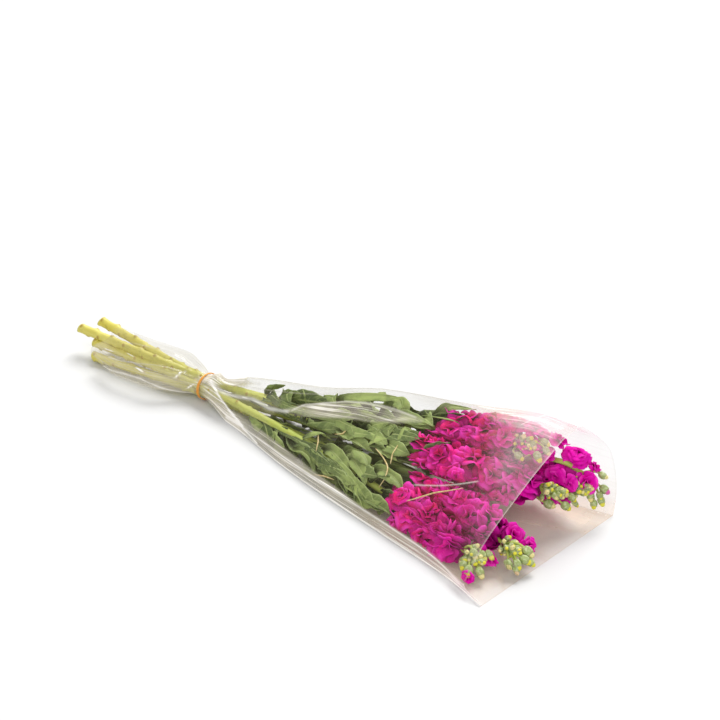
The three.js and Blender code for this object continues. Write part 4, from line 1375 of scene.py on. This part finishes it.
def crease_lines(x, k, scale):
    """The bright lines, painted highlights: 1 on a crease and 0 away from it, weighted by its
    strength.
    """
    total = np.zeros_like(x)
    for half_width, strength, route in CREASES:
        xs, ks = np.array(route).T
        middle = np.interp(x, xs, ks)
        slope = (np.interp(x + 1, xs, ks) - np.interp(x - 1, xs, ks)) / 2 * scale
        off = np.abs(k - middle) * scale / np.sqrt(1 + slope ** 2)
        inside = smoothstep(x, xs[0] - 3, xs[0] + 3) * (1 - smoothstep(x, xs[-1] - 3, xs[-1] + 3))
        total = np.maximum(total, strength * np.exp(-(off / half_width) ** 2) * inside)
    return total


def veil_patches(x, k, scale):
    """The milky areas, each with soft edges."""
    total = np.zeros_like(x)
    for strength, soft, rows in VEILS:
        xs, low, high = np.array(rows, dtype=float).T
        above = (k - np.interp(x, xs, low)) * scale
        below = (np.interp(x, xs, high) - k) * scale
        inside = smoothstep(above, -soft, soft) * smoothstep(below, -soft, soft)
        inside *= smoothstep(x, xs[0] - 6, xs[0] + 6) * (1 - smoothstep(x, xs[-1], xs[-1] + 8))
        total = total + strength * inside
    return total


def film_relief(x, k):
    """How far the film stands out: pleats that run from the band, slow waves further on."""
    from_band = np.abs(x - BAND["x"])
    gathered = np.exp(-from_band / 60)
    pleats = np.sin(k * 2.7 + 0.9 * np.sin(k * 1.3)) + 0.6 * np.sin(k * 5.9 + 1.0)
    slow = np.sin(k * 0.9 + x / 75) + 0.7 * np.sin(k * 1.7 - x / 48 + 2)
    stand = 1.3 * gathered * (0.7 + pleats) * smoothstep(from_band, 2, 22)
    stand += 0.6 * (1.0 + slow) * smoothstep(x, -110, 0)
    on_floor = (k >= FAR_FOOT) & (x > BAND["x"])
    stand = np.where(on_floor, 0.0, stand) * smoothstep(from_band, 3, 16)
    stand += 4.5 * np.exp(-((x + 122) / 8) ** 2 - ((k - 9.5) / 2.6) ** 2) * smoothstep(x, -134, -128)
    at_foot = smoothstep(k, FAR_FOOT - 0.8, FAR_FOOT) * (x > BAND["x"])
    return stand * smoothstep(k, 0.0, 0.8) * (1 - at_foot)


def over_stems(x, y, z, normal, shape):
    """How far the film must stand out to pass over the stems, spread out as if taut."""
    push = np.zeros_like(x)
    for stem in STEMS:
        own = stem_points(stem, x)[:, 1:]
        reach = through(STEM_RADIUS, x)[:, 0] + 1.8
        dy, dz = y - own[:, 0], z - own[:, 1]
        along = dy * normal[0] + dz * normal[1]
        aside = dy * normal[1] - dz * normal[0]
        need = np.sqrt(np.maximum(reach ** 2 - aside ** 2, 0)) - along
        near = (np.abs(aside) < reach) & (along > -16) & (x > stem["route"][0][0] + 4) & (x < 140)
        push = np.maximum(push, np.where(near, need, 0))
    push = (np.clip(push, 0, 14) * smoothstep(np.abs(x - BAND["x"]), 2, 10)).reshape(shape)
    spread = push.copy()
    for _ in range(10):
        spread = (np.roll(spread, 1, axis=1) + 2 * spread + np.roll(spread, -1, axis=1)) / 4
        spread[1:-1] = (spread[:-2] + 2 * spread[1:-1] + spread[2:]) / 4
        spread = np.maximum(spread, push)
    return spread.reshape(-1)


def make_film():
    """The film as one sheet round the bunch, with the numbers that its finish reads."""
    tube = np.linspace(FOOT_X, FILM_GRID["tube_ends"], FILM_GRID["tube"])
    cone = np.linspace(FILM_GRID["cone_starts"], MOUTH_X, FILM_GRID["cone"])
    rows = np.concatenate([tube, cone])
    columns = np.linspace(0, ROUND, FILM_GRID["round"], endpoint=False)
    x, k = (grid.reshape(-1) for grid in np.meshgrid(rows, columns, indexing="ij"))
    y, z = sleeve_points(x, k)
    along_y, along_z = over_k(x, k, 0.02)
    normal = np.stack([-along_z, along_y])
    normal /= np.maximum(np.linalg.norm(normal, axis=0), 1e-6)
    scale = np.linalg.norm(over_k(x, k, 0.05), axis=0) / 0.1  # how many millimetres a step of k is
    lines, veil = crease_lines(x, k, scale), veil_patches(x, k, scale)
    stand = film_relief(x, k) - FILM["wall"] / 2 + 0.8 * lines
    stand += over_stems(x, y, z, normal, (len(rows), len(columns)))
    y, z = y + normal[0] * stand, np.maximum(z + normal[1] * stand, 0.15)
    short = smoothstep(x, 200, MOUTH_X) * smoothstep(z, 0.4, 12)
    short *= 1 - smoothstep(k, FILM["front"] - 1, FILM["front"] + 2)
    foot = 5 * np.sin(k * 1.1 + 0.6) * (1 - smoothstep(x, FOOT_X, -215))
    points = np.stack([x - FILM["front_short"] * short + foot, y, z], axis=1)
    # edge and line mark where the finish paints highlights: the cut edges and the creases
    at_mouth = (1 - smoothstep(MOUTH_X - x, 0.0, 2.2)) * np.where(k < FILM["front"] + 1, 1.0, 0.35)
    numbers = {
        "edge": at_mouth + 0.3 * (1 - smoothstep(x - FOOT_X, 0.0, 2.6)),
        "line": lines,
        "veil": veil,
        "floor": smoothstep(k, 14.2, 16.0) * smoothstep(x, BAND["x"], BAND["x"] + 30),
        # painted reflection: where the film lies over the heads it is tinted pink and glows more
        "rose": smoothstep(x, 190, 280),
        "around": k / ROUND,
        "lengthwise": (x - FOOT_X) / (MOUTH_X - FOOT_X),
    }
    return make_mesh("sleeve_film", points, grid_faces(len(rows), len(columns), closed=True), numbers)


def film_finish():
    # painted light: the film is given an emission, so that its milky parts glow
    finish = Finish("clear film", Roughness=0.16, Specular_IOR_Level=0.7, Emission_Strength=0.36)
    edge, line, veil, floor, rose, around, lengthwise = finish.attributes(
        "edge", "line", "veil", "floor", "rose", "around", "lengthwise"
    )
    streak = finish.streaks(around * 46.0, lengthwise * 2.2, 3.0)
    fine = finish.streaks(around * 130.0, lengthwise * 5.0, 3.0)
    cloud = finish.noise(14.0, 3.0)
    patch = 1.0 + (cloud.between(0.36, 0.64) - 0.5) * 0.7 * (1 - floor)
    pleat = fine.between(0.3, 0.7) * (1 - floor * 0.8)
    # painted highlights: bright lines on creases and cut edges, and glints on the pleats, are less
    # clear
    bright = line + edge * 0.32 + pleat.between(0.6, 0.9) * veil.between(0.16, 0.4) * 0.34
    milk = veil * patch * (0.3 + streak * 0.9 + pleat * 0.5 + floor * 0.2)
    alpha = 0.045 + cloud.between(0.4, 0.75) * 0.04 + milk
    finish.set("Alpha", (alpha + streak.between(0.6, 0.72) * 0.05 + bright).clamped())
    # painted reflection: pink where the film lies over the heads, for their colour scattered in it
    tint = finish.mix(cloud.between(0.3, 0.6) * rose, rgb(208, 201, 178), rgb(236, 208, 212))
    finish.colour = finish.mix(veil.between(0.0, 0.16), rgb(150, 140, 108), tint)
    # painted reflection: the film on the floor is warm, for light bounced from the heads into the
    # shade there
    finish.coat(floor, 222, 196, 172)
    # painted highlight: the bright lines are coloured near white
    finish.coat(bright.between(0.05, 0.5) * 0.9, 252, 250, 244)
    # painted light: the milky parts glow, most over the heads and warm on the floor
    milky = veil.between(0.0, 0.5) * (0.35 + rose * 0.65)
    glow = finish.mix(floor, rgb(250, 236, 232), rgb(255, 236, 214))
    finish.set("Emission Color", finish.mix(milky, (0, 0, 0, 1), glow))
    return finish.done(streak + fine, 0.25, 0.0012)


film_mesh = make_film()
film = place("sleeve_film", film_mesh, film_finish())

# %% [markdown]
# Dry strands.
#
# A few pale, dry strands lie on the leaves under the film. Each is a thin tube through a few
# places given on the film, just beneath it, so that it can't float free of the bunch.

# %% Dry strands
STRANDS = [
    # x and k of the places it passes, and how far under the film it lies
    (3, [(39, 5.2), (45, 4.4), (49, 3.5)]),
    (3.5, [(113, 5.6), (128, 5.2), (140, 4.7), (144, 3.9), (143, 3.1)]),
    (3, [(134, 6.4), (135, 5.7), (140, 5)]),
    (2.5, [(61, 1.3), (74, 1.7), (88, 1.9)]),
    (2.2, [(182, 3.2), (205, 4.4), (232, 5.3)]),
    (3, [(68, 6.3), (66, 5.8), (58, 5.6)]),
]


def make_strands():
    """All the strands as one piece, each a thin tube that tapers to both ends."""
    sides, steps, parts, blur = 6, 24, Parts(), np.array([0.25, 0.5, 0.25])
    for depth, route in STRANDS:
        share = np.linspace(0, len(route) - 1, steps)
        x, k = (np.interp(share, range(len(route)), row) for row in zip(*route))
        for _ in range(3):
            x[1:-1], k[1:-1] = np.convolve(x, blur, "valid"), np.convolve(k, blur, "valid")
        y, z = sleeve_points(x, k)
        middle_y, _ = sleeve_points(x, 16.0)
        inward = unit(np.stack([middle_y * 0.5 - y, 0.4 * z - z], axis=1))
        middle = np.stack([x, y + inward[:, 0] * depth, z + inward[:, 1] * depth], axis=1)
        thick = 0.25 + 0.55 * np.sin(np.linspace(0.25, math.pi - 0.05, steps))
        parts.add(swept(middle, thick, sides), tube_faces(steps, sides))
    points, faces, _ = parts.joined()
    finish = grainy_finish(
        "dry strand cream", 0.7, 400.0, (0.35, 0.7), [(236, 216, 158), (206, 178, 112)], 0.4
    )
    return place("dry_strands", make_mesh("dry_strands", points, faces), finish)


strands = make_strands()

# %% [markdown]
# The film is one layer, and it doesn't stretch.

# %% [markdown]
# What goes with what.
#
# Nothing moves, so every piece rides on the one body. Each new piece stands for its node, but
# for the dry strands, which the solid model leaves out.

# %% Frame calls
for index in range(len(STEMS)):
    for group in (stalks, leaves, buds, big_buds, cups):
        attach(group[index], "root")
        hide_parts(f"stem_{index + 1}")
    for group in (heads, singles):
        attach(group[index], "root")
        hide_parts(f"flowers_{index + 1}")
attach(band, "root")
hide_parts("rubber_band")
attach(strands, "root")
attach(film, "root")
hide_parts("sleeve")

# %% [markdown]
# Light and floor.
#
# The picture is bright: a white table, a white surround and one large soft light from above
# and behind, which throws a soft shadow along the near edge. A weak light from the front keeps
# the near sides of the heads and leaves from going dark. The table is only just white in this
# light, so that the thin shadows and the clear film still show on it.

# %% Stage


def make_floor():
    mesh = bpy.data.meshes.new("floor")
    mesh.from_pydata([(-30, -30, 0), (30, -30, 0), (30, 30, 0), (-30, 30, 0)], [], [(0, 1, 2, 3)])
    finish = Finish("table white", Roughness=0.6)
    finish.set("Base Color", (0.678, 0.678, 0.678, 1))
    floor = place("floor", mesh, finish.material)


def make_sun(name, azimuth, elevation, strength, softness):
    """A soft light from a direction, in degrees; it lights the whole table evenly."""
    light = bpy.data.lights.new(name, "SUN")
    light.energy, light.angle = strength, math.radians(softness)
    lamp = bpy.data.objects.new(name, light)
    a, e = math.radians(azimuth), math.radians(elevation)
    toward = Vector((math.cos(a) * math.cos(e), math.sin(a) * math.cos(e), math.sin(e)))
    lamp.rotation_euler = toward.to_track_quat("Z", "Y").to_euler()
    bpy.context.scene.collection.objects.link(lamp)


def make_world():
    world = bpy.data.worlds.new("surround")
    world.use_nodes = True
    background = world.node_tree.nodes["Background"]
    background.inputs["Color"].default_value = (1, 1, 1, 1)
    background.inputs["Strength"].default_value = 0.5
    bpy.context.scene.world = world


make_floor()
make_world()
make_sun("key", 108, 50, 3.1, 34)
make_sun("fill", 300, 48, 0.95, 60)
bpy.context.scene.view_settings.view_transform = "Standard"
